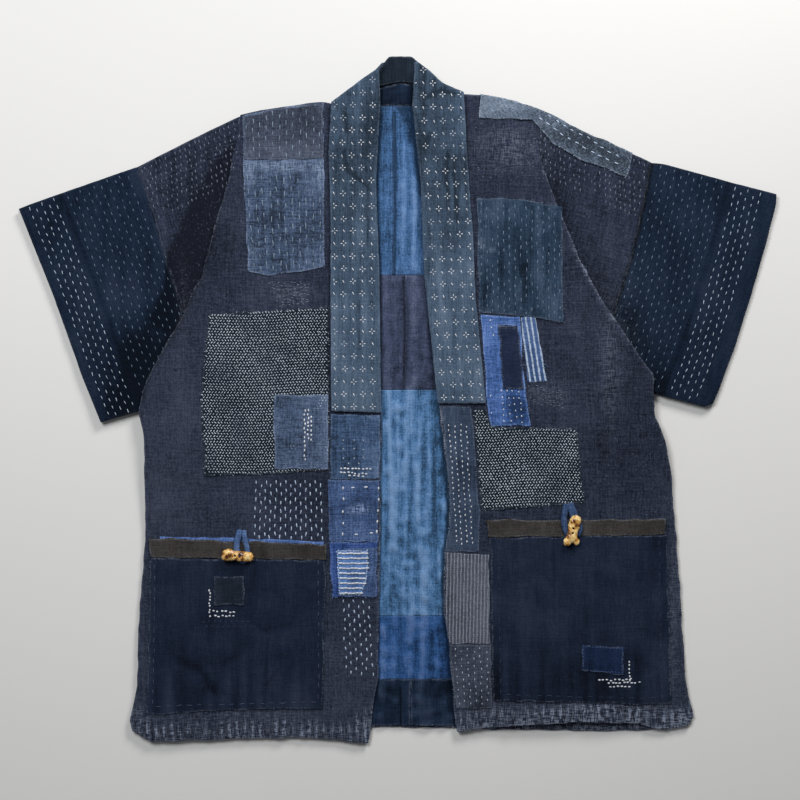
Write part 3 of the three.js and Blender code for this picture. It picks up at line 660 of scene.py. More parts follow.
def offset_line(line, inward, toward):
    """A line moved sideways, to the side where the point toward is."""
    line = np.asarray(line, float)
    normal = unit_normals(np.gradient(line, axis=0))
    side = np.sign(((np.asarray(toward) - line) * normal).sum(1))[:, None]
    return line + normal * side * inward


def run_on(line, reach=40):
    """A line made longer at both ends."""
    first, last = line[0] - line[1], line[-1] - line[-2]
    before = line[0] + first * reach / np.hypot(*first)
    return np.vstack([before, line, line[-1] + last * reach / np.hypot(*last)])


def along(line, pitch, length, width=1.2, start=0.0, wander=0.3, turn=0.08, seed=0, angle=0.0):
    """Stitches along a bent line, turned by an angle from the line's own direction."""
    line = np.asarray(line, float)
    gone = gone_along(line)
    rng = np.random.default_rng(seed)
    places = np.arange(start + pitch / 2, gone[-1], pitch)
    places = places + rng.normal(0, 0.06 * pitch, len(places))
    x, y = points_at(line, gone, places).T
    ahead = points_at(line, gone, np.clip(places + 1.5, 0, gone[-1]))
    behind = points_at(line, gone, np.clip(places - 1.5, 0, gone[-1]))
    heading = np.arctan2(*(ahead - behind).T[::-1])
    angles = heading + angle + rng.normal(0, turn, len(places))
    return np.column_stack([
        x + rng.normal(0, wander, len(x)), y + rng.normal(0, wander, len(x)), angles,
        length * rng.uniform(0.8, 1.15, len(x)), width * rng.uniform(0.85, 1.15, len(x)),
    ])


def ring_of(node, inset=0.0):
    """A piece's closed edge, moved inward."""
    edge = even_outline(OUTLINES[node], 4.0)
    edge = np.vstack([edge, edge[:1]])
    step = np.gradient(edge, axis=0)
    step[0] = step[-1] = edge[1] - edge[-2]
    return edge + unit_normals(step) * inset


CORNER = math.radians(24)  # a bend sharper than this stays sharp


def even_outline(points, spacing, smooth=3):
    """An outline with its corners kept, even points between them, and slight bends rounded."""
    points = np.asarray(points, float)
    apart = np.hypot(*(points - np.roll(points, 1, axis=0)).T)
    points = points[apart > 0.05]
    before = points - np.roll(points, 1, axis=0)
    after = np.roll(points, -1, axis=0) - points
    turn = np.arctan2(before[:, 0] * after[:, 1] - before[:, 1] * after[:, 0], (before * after).sum(1))
    corners = np.flatnonzero(np.abs(turn) > CORNER)
    if len(corners) == 0:
        corners = np.array([0])
    points = np.roll(points, -corners[0], axis=0)
    stops = list(corners - corners[0]) + [len(points)]
    closed = np.vstack([points, points[:1]])
    made = []
    for a, b in zip(stops[:-1], stops[1:]):
        span = closed[a : b + 1]
        gone = gone_along(span)
        count = max(1, round(gone[-1] / spacing))
        even = points_at(span, gone, np.linspace(0, gone[-1], count + 1))
        made.append(rounded(even, smooth)[:-1])
    return np.concatenate(made)


def fray(node, count, length=3.0, seed=0):
    """Loose thread ends that stick out over an edge."""
    edge = ring_of(node)
    rng = np.random.default_rng(seed)
    pick = rng.integers(0, len(edge) - 1, count)
    step = edge[pick + 1] - edge[pick]
    heading = np.arctan2(step[:, 1], step[:, 0]) - math.pi / 2 + rng.normal(0, 0.5, count)
    lengths = length * rng.uniform(0.5, 1.4, count)
    reach = rng.uniform(0.15, 0.45, count) * lengths
    x = edge[pick, 0] + np.cos(heading) * reach
    y = edge[pick, 1] + np.sin(heading) * reach
    return np.column_stack([x, y, heading, lengths, np.full(count, 0.4)])


SEWN = {}  # node: list of (name, kind of thread, marks)


def sew(node, name, kind, *marks):
    SEWN.setdefault(node, []).append((name, kind, np.concatenate(marks)))


# cuffs: bold white rows near the open edge, then fainter ones up to the seam
CUFF_ROWS = [  # name, thread, insets, pitch, length, width, start of every other row, seed, wander
    ("bold_rows", "chalk", BOLD_ROWS, 9.8, 5.2, 0.82, 4.9, 100, 0.3),
    ("faint_rows", "steel", FAINT_ROWS, 10.6, 4.6, 0.8, 5.0, 120, 0.5),
]
for side, hem in CUFF_HEMS.items():
    node = f"cuff_{side}"
    middle = OUTLINES[node].mean(0)
    for name, kind, insets, pitch, length, width, start, seed, wander in CUFF_ROWS:
        made = []
        for k, inset in enumerate(insets[side]):
            line = run_on(offset_line(hem, inset, middle))
            made.append(along(line, pitch, length, width, start * (k % 2), wander, seed=seed + k))
        sew(node, name, kind, keep_inside(np.concatenate(made), node, 3, [f"front_{side}"]))

# sleeves: faint rows nearest the shoulder, parallel to the cuff seam
CROWNS = {
    "left": [(-304, 272), (-244, 302), (-213, 317), (-183, 331), (-141, 338)],
    "right": [(297, 277), (275, 287), (224, 309), (182, 331), (160, 340)],
}
SLEEVE_ROWS, SLEEVE_ROW_STEP, SLEEVE_PITCH = 9, 7.3, 6.4
SLEEVE_LEAN = {"left": math.radians(-79), "right": math.radians(88)}
for k, (side, crown) in enumerate(CROWNS.items()):
    made = []
    for j in range(SLEEVE_ROWS):
        line = run_on(offset_line(crown, 6 + j * SLEEVE_ROW_STEP, (0, 0)), 20)
        line = line[np.argsort(line[:, 0])]
        marks = along(line, SLEEVE_PITCH, 4.3, 0.95, 3.2 * (j % 2), wander=0.6, seed=140 + 20 * k + j)
        marks[:, 2] = SLEEVE_LEAN[side] + (marks[:, 2] - marks[:, 2].mean()) * 0.3
        made.append(thinned(marks, 0.92 - 0.35 * max(0, j - 6) / 2, j))
    node = f"sleeve_{side}"
    sew(node, "rows", "ash_dim", keep_inside(np.concatenate(made), node, 3))

# left front, on the base cloth
STITCH_BOX = rows(
    ((-165, -96), (-167, -156)), ((-90, -95), (-88, -157)), 14, 7, 5.6, 1.25,
    turn=0.12, seed=200, stagger=0.4,
)
FOOT_ROWS = rows(
    ((-63, -234), (-60, -312)), ((-34, -236), (-29, -314)), 6, 8, 5.0, 1.35, turn=0.14, seed=220, stagger=0.5,
)
DARN_LEFT = rows(
    ((-150, 136), (-103, 137)), ((-138, 112), (-106, 112)), 9, 11, 3.4, 0.8, wander=1.2, turn=0.25, seed=230,
)
SHOULDER_FAINT = rows(((-176, 326), (-176, 290)), ((-184, 326), (-190, 270)), 2, 4, 3.4, 0.9, seed=250)
sew("front_left", "box", "ice", STITCH_BOX, FOOT_ROWS)
sew("front_left", "darn", "ash_dim", thinned(DARN_LEFT, 0.75, 3), SHOULDER_FAINT)

# right front, on the base cloth
DARN_RIGHT = rows(
    ((154, 18), (190, 10)), ((156, -1), (192, -9)), 7, 9, 3.6, 0.75, wander=1.0, turn=0.12, seed=260,
)
MEND = rows(
    ((90, 322), (172, 318)), ((92, 262), (176, 258)), 10, 12, 2.4, 0.8, wander=2.5, turn=0.5, seed=280,
)
sew("front_right", "darn", "ash_dim", thinned(DARN_RIGHT, 0.8, 9))
sew("front_right", "mend", "dim", thinned(MEND, 0.6, 4))


# lapels: a chequered lattice of open crosses and slanted dashes
MOTIF_X, MOTIF_Y = 10.9, 14.6
SHOULDER_Y = 338


def motifs(node, seed):
    outline = OUTLINES[node]
    rng = np.random.default_rng(seed)
    made = []
    top, bottom = outline[:, 1].max(), outline[:, 1].min()
    left = node.endswith("left")
    for j in range(int((top - bottom) / MOTIF_Y) + 1):
        y = bottom + 7 + j * MOTIF_Y
        low, high = span_at(outline, min(y, SHOULDER_Y))
        anchor = low + 4.5 if left else high - 4.5
        for i in range(-3, 10):
            x = anchor + (i if left else -i) * MOTIF_X + rng.normal(0, 0.4)
            cy = y + rng.normal(0, 0.5)
            if (i + j) % 2:
                made.append([x, cy, math.radians(118) + rng.normal(0, 0.1), 4.6, 1.15])
            else:
                for quarter in range(4):
                    a = quarter * math.pi / 2 + 0.1
                    made.append([x + 2.4 * math.cos(a), cy + 2.4 * math.sin(a), a, 2.9, 1.15])
    return keep_inside(np.array(made), node, 2.2)


for k, side in enumerate(SIDES):
    marks = motifs(f"collar_{side}", 300 + 10 * k)
    muted = sample(rough(70, 14), marks[:, 0], marks[:, 1]) + ease(marks[:, 1], 150, 300) > (0.9, 1.4)[k]
    sew(f"collar_{side}", "motifs", "white", marks[~muted])
    sew(f"collar_{side}", "worn_motifs", "pale", marks[muted])

# the two darned squares: staggered rows of short threads, leaning to and fro row by row
DARN_X, DARN_Y = 3.55, 3.2


def darning(node, seed):
    outline = OUTLINES[node]
    (x0, y0), (x1, y1) = outline.min(0), outline.max(0)
    j, i = np.mgrid[0 : int((y1 - y0) / DARN_Y), 0 : int((x1 - x0) / DARN_X) + 2]
    rng = np.random.default_rng(seed)
    x = (x0 + i * DARN_X + (j % 2) * DARN_X / 2).ravel()
    y = (y0 + 2 + j * DARN_Y).ravel()
    y = y + 1.6 * np.sin(x / 47 + seed) + 0.8 * np.sin(x / 21)
    x = x + 1.4 * np.sin(y / 38 + seed) + rng.normal(0, 0.22, len(x))
    y = y + rng.normal(0, 0.18, len(y))
    lean = np.where((j % 2).ravel() == 0, 1, -1) * math.radians(48)
    angles = lean + rng.normal(0, 0.12, len(x))
    lengths = 3.3 * rng.uniform(0.75, 1.1, len(x))
    widths = 1.12 * rng.uniform(0.7, 1.15, len(x)) * (1 + 0.12 * np.sin(x / 26 + y / 33))
    return keep_inside(np.column_stack([x, y, angles, lengths, widths]), node, 1.6)


for seed, side in enumerate(SIDES, 3):
    sew(f"checker_{side}", "darning", "ash", darning(f"checker_{side}", seed))

# shoulder patches and the strip across the right shoulder
SHOULDER_ROWS = rows(
    ((-176, 272), (-167, 156)), ((-90, 274), (-90, 162)), 11, 9, 8.2, 1.05, seed=320, stagger=0.3,
)
TOP_ROWS = rows(((-176, 328), (-176, 284)), ((-90, 342), (-90, 286)), 12, 5, 7.2, 1.0, seed=340, stagger=0.4)
sew("shoulder_patch_left", "rows", "grey", SHOULDER_ROWS)
sew("shoulder_top_left", "rows", "grey", keep_inside(TOP_ROWS, "shoulder_top_left", 3))
STRIP_UPPER = [(173, 332.6), (184.6, 326), (201, 315.4), (220.5, 306.8), (236.7, 294.8), (259, 283)]
STRIP_LOWER = [(163, 330.5), (180, 318), (196, 306.3), (216, 295.5), (234.6, 285), (257, 275)]
STRIP_LEFT = [(104, 342), (130, 339), (163, 336)]
DASHES = [along(STRIP_UPPER, 10.2, 5.6, 1.15, seed=350), along(STRIP_LOWER, 10.2, 5.6, 1.15, seed=352)]
sew(STRIP_NODE, "dashes", "ice", keep_inside(np.vstack(DASHES), STRIP_NODE, 2))
sew(STRIP_NODE, "faint", "slate", along(STRIP_LEFT, 8.6, 4.6, 0.9, seed=354))

# chest patch, small patches
CHEST_ROWS = rows(((97, 228), (98, 106)), ((189, 220), (189, 96)), 15, 13, 5.2, 0.85, seed=360, stagger=0.5)
sew("chest_patch_right", "rows", "slate", thinned(keep_inside(CHEST_ROWS, "chest_patch_right", 3), 0.85, 5))
SMALL_COLUMNS = np.vstack([
    row((-108, -13), (-108, -69), 12, 3.6, 1.8, seed=370),
    row((-104.2, -12), (-104.2, -45), 8, 3.6, 1.8, seed=371),
    row((-100.6, -20), (-100.6, -46.5), 6, 3.6, 1.8, seed=372),
])
sew("small_patch_left", "rows", "white", SMALL_COLUMNS)
DOTS = np.array([
    [-63, -47], [-50.5, -47], [-40, -47], [-63, -57], [-50.5, -57], [-40, -58], [-63, -68], [-50.5, -68],
    [-40, -67], [-57, -74], [-45, -74],
])
DOT_MARKS = np.column_stack([DOTS, np.tile((math.pi / 2, 2.3, 1.3), (len(DOTS), 1))])
BOLD_CLUSTER = np.vstack([
    row((-66, -79.8), (-31, -80.4), 9, 3.3, 2.2, seed=380),
    row((-66, -84), (-36, -86.6), 8, 3.3, 2.2, seed=381),
    row((-56, -88), (-40, -89.5), 4, 3.3, 2.1, seed=382),
])
sew("edge_patch_left_1", "dots", "pale", DOT_MARKS)
sew("edge_patch_left_1", "cluster", "white", BOLD_CLUSTER)
sew(
    "edge_patch_left_2", "frame", "white",
    row((-63.5, -103), (-63.5, -157), 5, 4.4, 1.9, seed=390),
    row((-22, -103), (-23.5, -154.5), 5, 4.4, 1.9, seed=391),
    row((-52, -102), (-37, -102), 2, 4.6, 1.9, seed=392),
    row((-48, -156.5), (-31, -156), 2, 4.6, 1.9, seed=393),
)
STRIPE_TOP, STRIPE_STEP, STRIPE_COUNT = -178.6, 5.8, 9
STRIPED = "striped_patch_left"
LINES = []
for k in range(STRIPE_COUNT):
    y = STRIPE_TOP - k * STRIPE_STEP
    low, high = span_at(OUTLINES[STRIPED], y)
    for x in np.arange(low + 2.5, high - 1.5, 4.4):
        LINES.append([x + 1.2, y + 0.3 * math.sin(x), 0.02 * math.sin(x / 3), 5.6, 2.3])
sew(STRIPED, "lines", "white", np.array(LINES))
sew(STRIPED, "whip", "ice", along(ring_of(STRIPED, 0.8), 3.0, 2.8, 1.0, angle=0.5, seed=400))
BLUE_MARKS = np.vstack([
    row((121, 11), (124.5, -25), 6, 2.5, 1.4, turn=0.2, seed=410),
    row((128, 11), (132, -24), 5, 2.5, 1.4, turn=0.2, seed=411),
    row((134, 10.5), (139, -20), 5, 2.5, 1.4, turn=0.2, seed=412),
    row((140.7, 10), (146, -26), 6, 2.5, 1.4, turn=0.2, seed=413),
    row((109, 5), (109, -15), 2, 2.5, 1.3, seed=414),
    row((108, 92), (112, 76), 3, 3.0, 1.5, turn=0.6, seed=415),
])
sew("blue_patch_right", "rows", "white", keep_inside(BLUE_MARKS, "blue_patch_right", 2, ["blue_inset_right"]))
sew(
    "edge_patch_right_1", "dots", "white",
    rows(((59.7, -29), (69, -165)), ((80, -29), (87, -165)), 4, 23, 3.0, 1.3, seed=420, stagger=0.4),
)
LOW_ROWS = rows(((66, -290), (72, -354)), ((104, -290), (105, -354)), 6, 9, 3.2, 1.0, seed=430, stagger=0.5)
sew("edge_patch_right_3", "rows", "pale", keep_inside(LOW_ROWS, "edge_patch_right_3", 2.5))

# pockets
sew("pocket_left", "seam", "mauve", along(
    [(-283, -190), (-285, -357), (-92, -352), (-92, -190)], 12, 7, 0.9, seed=440,
))
sew(
    "pocket_left", "mark", "white",
    row((-219, -222), (-219, -252), 9, 3.0, 1.9, seed=441),
    rows(((-214, -246), (-191, -248)), ((-213, -252), (-191, -252)), 2, 6, 3.2, 2.0, seed=442),
)
sew("pocket_left", "darn", "mauve", rows(
    ((-226, -258), (-174, -258)), ((-226, -264), (-174, -264)), 2, 9, 3.2, 0.7, turn=0.04, seed=444,
    stagger=0.5,
))
sew("pocket_right", "seam", "ink", along(
    [(118, -166), (120, -343), (308, -348), (305, -165)], 12, 7, 0.8, seed=446,
))
sew(
    "pocket_right", "mark", "white",
    row((270, -305), (270, -326), 6, 3.1, 1.9, seed=447),
    row((235, -326), (272, -326), 9, 3.4, 1.9, seed=448),
    row((246, -330), (282, -329), 9, 3.4, 1.9, seed=449),
    row((248, -333.5), (270, -333.5), 6, 3.3, 1.9, seed=455),
)
OUTLINE = along(ring_of("pocket_patch_right", 2.2), 4.0, 3.2, 0.7, seed=450)
sew("pocket_patch_right", "outline", "sky_dim", OUTLINE)
sew("pocket_patch_left", "whip", "mauve", along(ring_of("pocket_patch_left", 1.0), 4.4, 2.4, 0.7, seed=452))

# small overcast stitches round the patches, and loose ends
OVERCAST = {
    "shoulder_patch_left": "slate", "checker_left": "ash", "checker_right": "ash",
    "small_patch_left": "slate", "chest_patch_right": "dim", "blue_patch_right": "sky",
    "edge_patch_left_1": "slate", "edge_patch_left_2": "slate", "edge_patch_left_3": "sky",
    "edge_patch_right_1": "dim", "edge_patch_right_2": "dim", "edge_patch_right_3": "dim",
    "striped_strip_right": "sky", "shoulder_strip_right": "ash", "edge_inset_left": "slate",
    "blue_inset_right": "dim",
}
FRAYED = ("edge_patch_left_3", STRIPED, "blue_patch_right", "striped_strip_right", "chest_patch_right")
for k, (node, kind) in enumerate(OVERCAST.items()):
    marks = along(ring_of(node, 0.5), 6.5, 2.2, 0.55, angle=1.15, turn=0.25, seed=500 + k)
    loose = fray(node, int(len(marks) * (0.6 if node in FRAYED else 0.12)), 2.4, seed=540 + k)
    sew(node, "edge", kind, thinned(marks, 0.6, k), loose)
FRONT_EDGES = [
    ("front_right", "ash_dim", EDGE_RIGHT, (120, -200), 4.4, 560),
    ("front_left", "mauve", EDGE_LEFT, (-120, -200), 5.6, 562),
]
for node, kind, line, toward, pitch, seed in FRONT_EDGES:
    sew(node, "overcast", kind, along(offset_line(line, 1.0, toward), pitch, 2.4, 0.6, angle=0.9, seed=seed))


def stamp(raster, marks, depth):
    """Dimples where stitches pull the cloth down."""
    size, reach = 5, 2.0
    for x, y, angle, length, _ in marks:
        j, i = round(x) + HALF_X, round(y) + HALF_Y
        window = (slice(i - size, i + size + 1), slice(j - size, j + size + 1))
        dx, dy = GRID_X[window] - x, GRID_Y[window] - y
        ahead = np.maximum(np.abs(dx * math.cos(angle) + dy * math.sin(angle)) - length / 2, 0)
        aside = dy * math.cos(angle) - dx * math.sin(angle)
        raster[window] -= depth * np.exp(-(ahead**2 + aside**2) / reach**2)


for node, groups in SEWN.items():
    for name, _, marks in groups:
        if node.startswith("front") and name in ("box", "darn"):
            stamp(front_top, marks, 0.5)
        if node.startswith("collar"):
            stamp(collar_top, marks, 0.25)
        if node.startswith("sleeve"):
            stamp(sleeve_top, marks, 0.4)


# ---- materials --------------------------------------------------------------------------------------
def linear(channel):
    return channel / 12.92 if channel <= 0.04045 else ((channel + 0.055) / 1.055) ** 2.4


def colour(*channels):
    return np.array([linear(c) for c in channels])


SLOT_COLOUR = {m["slot"]: colour(*m["base_color"][:3]) for m in frame["record"]["materials"]}


def rgba(value):
    return (*[float(c) for c in np.clip(value, 0, 1)], 1.0)


class Surface:
    """A material's node tree, with short calls for its nodes."""

    def __init__(self, name):
        self.material = bpy.data.materials.new(name)
        self.material.use_nodes = True
        self.tree = self.material.node_tree
        self.shader = self.tree.nodes["Principled BSDF"]
        self.place = self.node("ShaderNodeTexCoord", {}, output="Object")

    def node(self, kind, inputs, output=0, **settings):
        made = self.tree.nodes.new(kind)
        for key, value in settings.items():
            setattr(made, key, value)
        for key, value in inputs.items():
            self.put(made.inputs[key], value)
        return made.outputs[output]

    def put(self, socket, value):
        if isinstance(value, bpy.types.NodeSocket):
            self.tree.links.new(value, socket)
        else:
            socket.default_value = value

    def math(self, operation, a, b=0.0, c=0.0, clamp=False):
        return self.node("ShaderNodeMath", {0: a, 1: b, 2: c}, operation=operation, use_clamp=clamp)

    def turned(self, angle):
        return self.node("ShaderNodeMapping", {"Vector": self.place, "Rotation": (0, 0, angle)})

    def noise(self, place, across, lengthwise, detail, shift=0.0):
        """Noise with grains of these sizes in mm."""
        size = (1000 / across, 1000 / lengthwise, 1000 / across)
        stretched = self.node(
            "ShaderNodeMapping", {"Vector": place, "Scale": size, "Location": (shift, shift, shift)},
        )
        return self.node("ShaderNodeTexNoise", {"Vector": stretched, "Scale": 1.0, "Detail": detail})

    def between(self, value, low, high, out_low=0.0, out_high=1.0):
        return self.node("ShaderNodeMapRange", {0: value, 1: low, 2: high, 3: out_low, 4: out_high})

    def mix(self, factor, a, b):
        return self.node("ShaderNodeMix", {0: factor, 6: a, 7: b}, output=2, data_type="RGBA")

    def attribute(self, name):
        return self.node("ShaderNodeAttribute", {}, output="Fac", attribute_name=name)

    def ramp(self, value, stops):
        made = self.tree.nodes.new("ShaderNodeValToRGB")
        self.put(made.inputs[0], value)
        elements = made.color_ramp.elements
        while len(elements) < len(stops):
            elements.new(0.5)
        for element, (position, shade) in zip(elements, stops):
            element.position = position
            element.color = rgba(shade)
        return made.outputs[0]

    def bump(self, height, distance, strength):
        made = self.node("ShaderNodeBump", {"Height": height, "Distance": distance, "Strength": strength})
        self.put(self.shader.inputs["Normal"], made)

    def set(self, **values):
        for key, value in values.items():
            self.put(self.shader.inputs[key.replace("_", " ")], value)


WEAVE_PITCH = 0.95
DARKEST = 0.30  # of a cloth's own colour
NOISES = {  # size across and lengthwise in mm, detail and shift
    "warp": (1.5, 24, 2.5, 0), "weft": (20, 1.4, 2.5, 3), "cloud": (60, 80, 4.0, 5),
    "speck": (2.1, 2.6, 1.5, 7), "fleck": (1.9, 3.2, 1.0, 11),
    "rub_warp": (1.1, 9.0, 1.0, 13), "rub_weft": (9.0, 1.1, 1.0, 17),
}


def cotton(name, base, look, grain=0.0, light=1.9, stripes=None, seed=0.0, edge_wear=0.5):
    """Woven cotton: streaks of warp and weft, cloudy dye, slubs and flecks, rubbed edges and a fine weave."""
    made = Surface(name)
    place = made.turned(grain)
    warp, weft, speck, cloud, flecks = look
    noises = {kind: made.noise(place, *size, seed + shift) for kind, (*size, shift) in NOISES.items()}
    grey = float(base.mean())
    pale = (base * 0.75 + grey * 0.25) * light
    worn = base * 1.2 + colour(0.46, 0.49, 0.54)
    tint = 0.5 - (warp + weft + cloud + speck) / 2
    # the tone attribute holds dye differences, and painted shade, highlights and shadows along folds and
    # creases
    tint = made.math("ADD", made.attribute("tone"), tint)
    for kind, amount in (("warp", warp), ("weft", weft), ("cloud", cloud), ("speck", speck)):
        tint = made.math("MULTIPLY_ADD", noises[kind], amount, tint)
    shade = made.ramp(tint, [(0.0, base * DARKEST), (0.5, base), (1.0, pale)])
    if stripes:
        pitch, width, turn, stripe_colour, shift = stripes
        across = made.node("ShaderNodeSeparateXYZ", {0: made.turned(turn)})
        across = made.math("ADD", across, (shift - 0.6) * MM)
        wobble = made.math("MULTIPLY_ADD", made.noise(place, 9, 9, 1.0), 1.2 * MM, across)
        phase = made.math("FRACT", made.math("DIVIDE", wobble, pitch * MM))
        away = made.math("ABSOLUTE", made.math("SUBTRACT", phase, 0.5))
        band = made.between(away, width / pitch / 2 + 0.06, width / pitch / 2 - 0.06)
        band = made.math("MULTIPLY", band, made.between(noises["speck"], 0.25, 0.6, 0.35, 1.0))
        shade = made.mix(band, shade, rgba(stripe_colour))
    fleck = made.math("MULTIPLY", made.between(noises["fleck"], 0.62, 0.76), flecks)
    shade = made.mix(fleck, shade, rgba(pale * 1.7))
    rub = made.math("ADD", noises["rub_warp"], noises["rub_weft"])
    edge = made.between(made.attribute("edge"), 2.4, 0.0, 0.0, edge_wear)
    rubbed = made.math("ADD", edge, made.attribute("wear"))
    rubbed = made.math("MULTIPLY", rubbed, made.between(rub, 0.92, 1.2), clamp=True)
    shade = made.mix(rubbed, shade, rgba(worn))
    made.set(Base_Color=shade, Roughness=made.between(noises["speck"], 0.2, 0.8, 0.78, 0.96))
    made.set(Sheen_Weight=0.03, Sheen_Roughness=0.5, Specular_IOR_Level=0.06)
    axes = made.tree.nodes.new("ShaderNodeSeparateXYZ")
    made.put(axes.inputs[0], place)
    wave = 2 * math.pi / (WEAVE_PITCH * MM)
    over = made.math("SINE", made.math("MULTIPLY", axes.outputs[0], wave))
    under = made.math("SINE", made.math("MULTIPLY", axes.outputs[1], wave))
    weave = made.math("MULTIPLY", over, under)
    height = made.math("MULTIPLY_ADD", weave, 0.08, made.math("MULTIPLY", noises["warp"], 1.1))
    height = made.math("MULTIPLY_ADD", noises["weft"], 0.8, height)
    height = made.math("MULTIPLY_ADD", noises["speck"], 1.0, height)
    made.bump(height, 0.55 * MM, 0.8)
    return made.material


def thread(name, shade, deep):
    """Spun thread: soft, darker where soiled, with painted shade down in its twist."""
    made = Surface(name)
    twist = made.noise(made.turned(0.6), 0.5, 1.4, 2.0)
    soil = made.noise(made.place, 25, 25, 3.0)
    tint = made.math("MULTIPLY_ADD", twist, 0.7, made.math("MULTIPLY", soil, 0.9))
    made.set(Base_Color=made.ramp(tint, [(0.45, deep), (0.95, shade)]), Roughness=0.85)
    made.set(Sheen_Weight=0.1, Specular_IOR_Level=0.2)
    made.bump(twist, 0.12 * MM, 0.7)
    return made.material


THREAD_COLOURS = {  # a thread's own colour, and a darker one: painted shade down in its twist, and soiling
    "white": ((0.90, 0.91, 0.93), (0.62, 0.66, 0.71)),
    "chalk": ((0.78, 0.83, 0.89), (0.50, 0.57, 0.65)),
    "steel": ((0.46, 0.54, 0.62), (0.25, 0.32, 0.40)),
    "pale": ((0.76, 0.79, 0.83), (0.48, 0.52, 0.58)),
    "grey": ((0.56, 0.63, 0.70), (0.30, 0.37, 0.45)),
    "dim": ((0.45, 0.48, 0.53), (0.24, 0.27, 0.33)),
    "ash": ((0.82, 0.87, 0.91), (0.48, 0.53, 0.59)),
    "ash_dim": ((0.50, 0.54, 0.60), (0.26, 0.30, 0.36)),
    "slate": ((0.50, 0.57, 0.66), (0.30, 0.36, 0.46)),
    "mauve": ((0.30, 0.32, 0.43), (0.18, 0.20, 0.29)),
    "ink": ((0.22, 0.26, 0.36), (0.12, 0.15, 0.23)),
    "ice": ((0.80, 0.87, 0.96), (0.56, 0.64, 0.75)),
    "sky_dim": ((0.28, 0.38, 0.56), (0.16, 0.23, 0.38)),
    "sky": ((0.52, 0.65, 0.82), (0.30, 0.42, 0.60)),
}
THREADS = {
    kind: thread(f"thread_{kind}", colour(*shade), colour(*deep))
    for kind, (shade, deep) in THREAD_COLOURS.items()
}

LOOKS = {  # how strong warp, weft, speck, cloud and flecks are
    "base_cotton": (1.0, 0.9, 1.1, 0.5, 0.45), "cuff_navy": (0.7, 0.5, 0.6, 0.9, 0.10),
    "collar_cotton": (0.9, 0.4, 0.6, 0.8, 0.05), "collar_inside": (0.8, 0.3, 0.3, 0.7, 0),
    "yoke_navy": (0.7, 0.4, 0.4, 0.6, 0), "lining_blue": (0.8, 0.5, 0.9, 0.7, 0.12),
    "lining_grey": (0.7, 0.5, 0.8, 0.5, 0.15), "lining_pale": (0.9, 0.6, 0.9, 0.7, 0.15),
    "lining_mid": (0.8, 0.5, 0.8, 0.7, 0.12), "faded_blue": (1.0, 1.2, 1.1, 1.3, 0.25),
    "slate_patch": (0.9, 0.9, 0.9, 0.5, 0.2), "darned_grey": (0.3, 0.3, 0.4, 0.3, 0),
    "indigo_patch": (0.9, 0.9, 0.9, 1.2, 0.12), "bright_blue": (1.0, 1.0, 0.9, 1.2, 0.12),
    "striped_pale": (0.6, 0.6, 0.6, 0.5, 0), "worn_slate": (0.8, 0.8, 1.1, 0.9, 0.35),
    "teal_patch": (1.2, 0.5, 0.8, 1.0, 0.08), "ink_patch": (0.5, 0.5, 0.5, 0.4, 0),
    "dotted_teal": (0.8, 0.5, 0.5, 0.5, 0), "striped_grey": (0.8, 0.5, 0.6, 0.5, 0),
    "pocket_navy": (0.6, 0.4, 0.5, 0.25, 0.05), "patch_ink_blue": (0.5, 0.5, 0.5, 0.4, 0),
    "binding_brown": (0.5, 0.6, 0.6, 0.7, 0.05), "loop_blue": (0.9, 0.5, 0.6, 0.5, 0.1),
}
BASE_OF = dict(SLOT_COLOUR)
DYES = {  # the cloth's own colour against the one its slot is listed with
    "base_cotton": (0.92, 1.0, 1.14), "cuff_navy": (0.56, 0.66, 0.78), "collar_cotton": (0.95, 1.02, 1.07),
    "lining_blue": (0.98, 1.10, 1.18), "lining_grey": (1.18, 1.22, 1.36), "lining_pale": (0.98, 1.14, 1.20),
    "lining_mid": (1.12, 1.34, 1.46), "yoke_navy": (1.12, 1.28, 1.45), "indigo_patch": (1.16, 1.28, 1.42),
    "bright_blue": (1.05, 1.12, 1.22), "pocket_navy": (0.95, 1.06, 1.27), "teal_patch": (0.80, 0.93, 0.97),
    "worn_slate": (0.84, 0.84, 0.82), "faded_blue": (0.97, 1.0, 1.06),
}
for slot, dye in DYES.items():
    BASE_OF[slot] = BASE_OF[slot] * np.array(dye)
GROUNDS = {  # cloth under close stitches or between stripes
    "darned_grey": (0.105, 0.135, 0.175), "striped_pale": (0.27, 0.37, 0.55),
    "striped_grey": (0.28, 0.30, 0.355), "dotted_teal": (0.215, 0.268, 0.352),
    "ink_patch": (0.118, 0.155, 0.25),
    "pocket_patch_left": (0.128, 0.162, 0.212), "striped_patch_left": (0.37, 0.51, 0.74),
}
BASE_OF.update({key: colour(*shade) for key, shade in GROUNDS.items()})
NODE_DYES = {
    "edge_patch_left_3": ("bright_blue", (0.60, 0.62, 0.74)),
    "edge_patch_left_1": ("indigo_patch", (1.0, 1.0, 0.86)),
    "edge_patch_right_3": ("slate_patch", (0.80, 0.80, 0.80)),
}
for node, (slot, dye) in NODE_DYES.items():
    BASE_OF[node] = BASE_OF[slot] * np.array(dye)
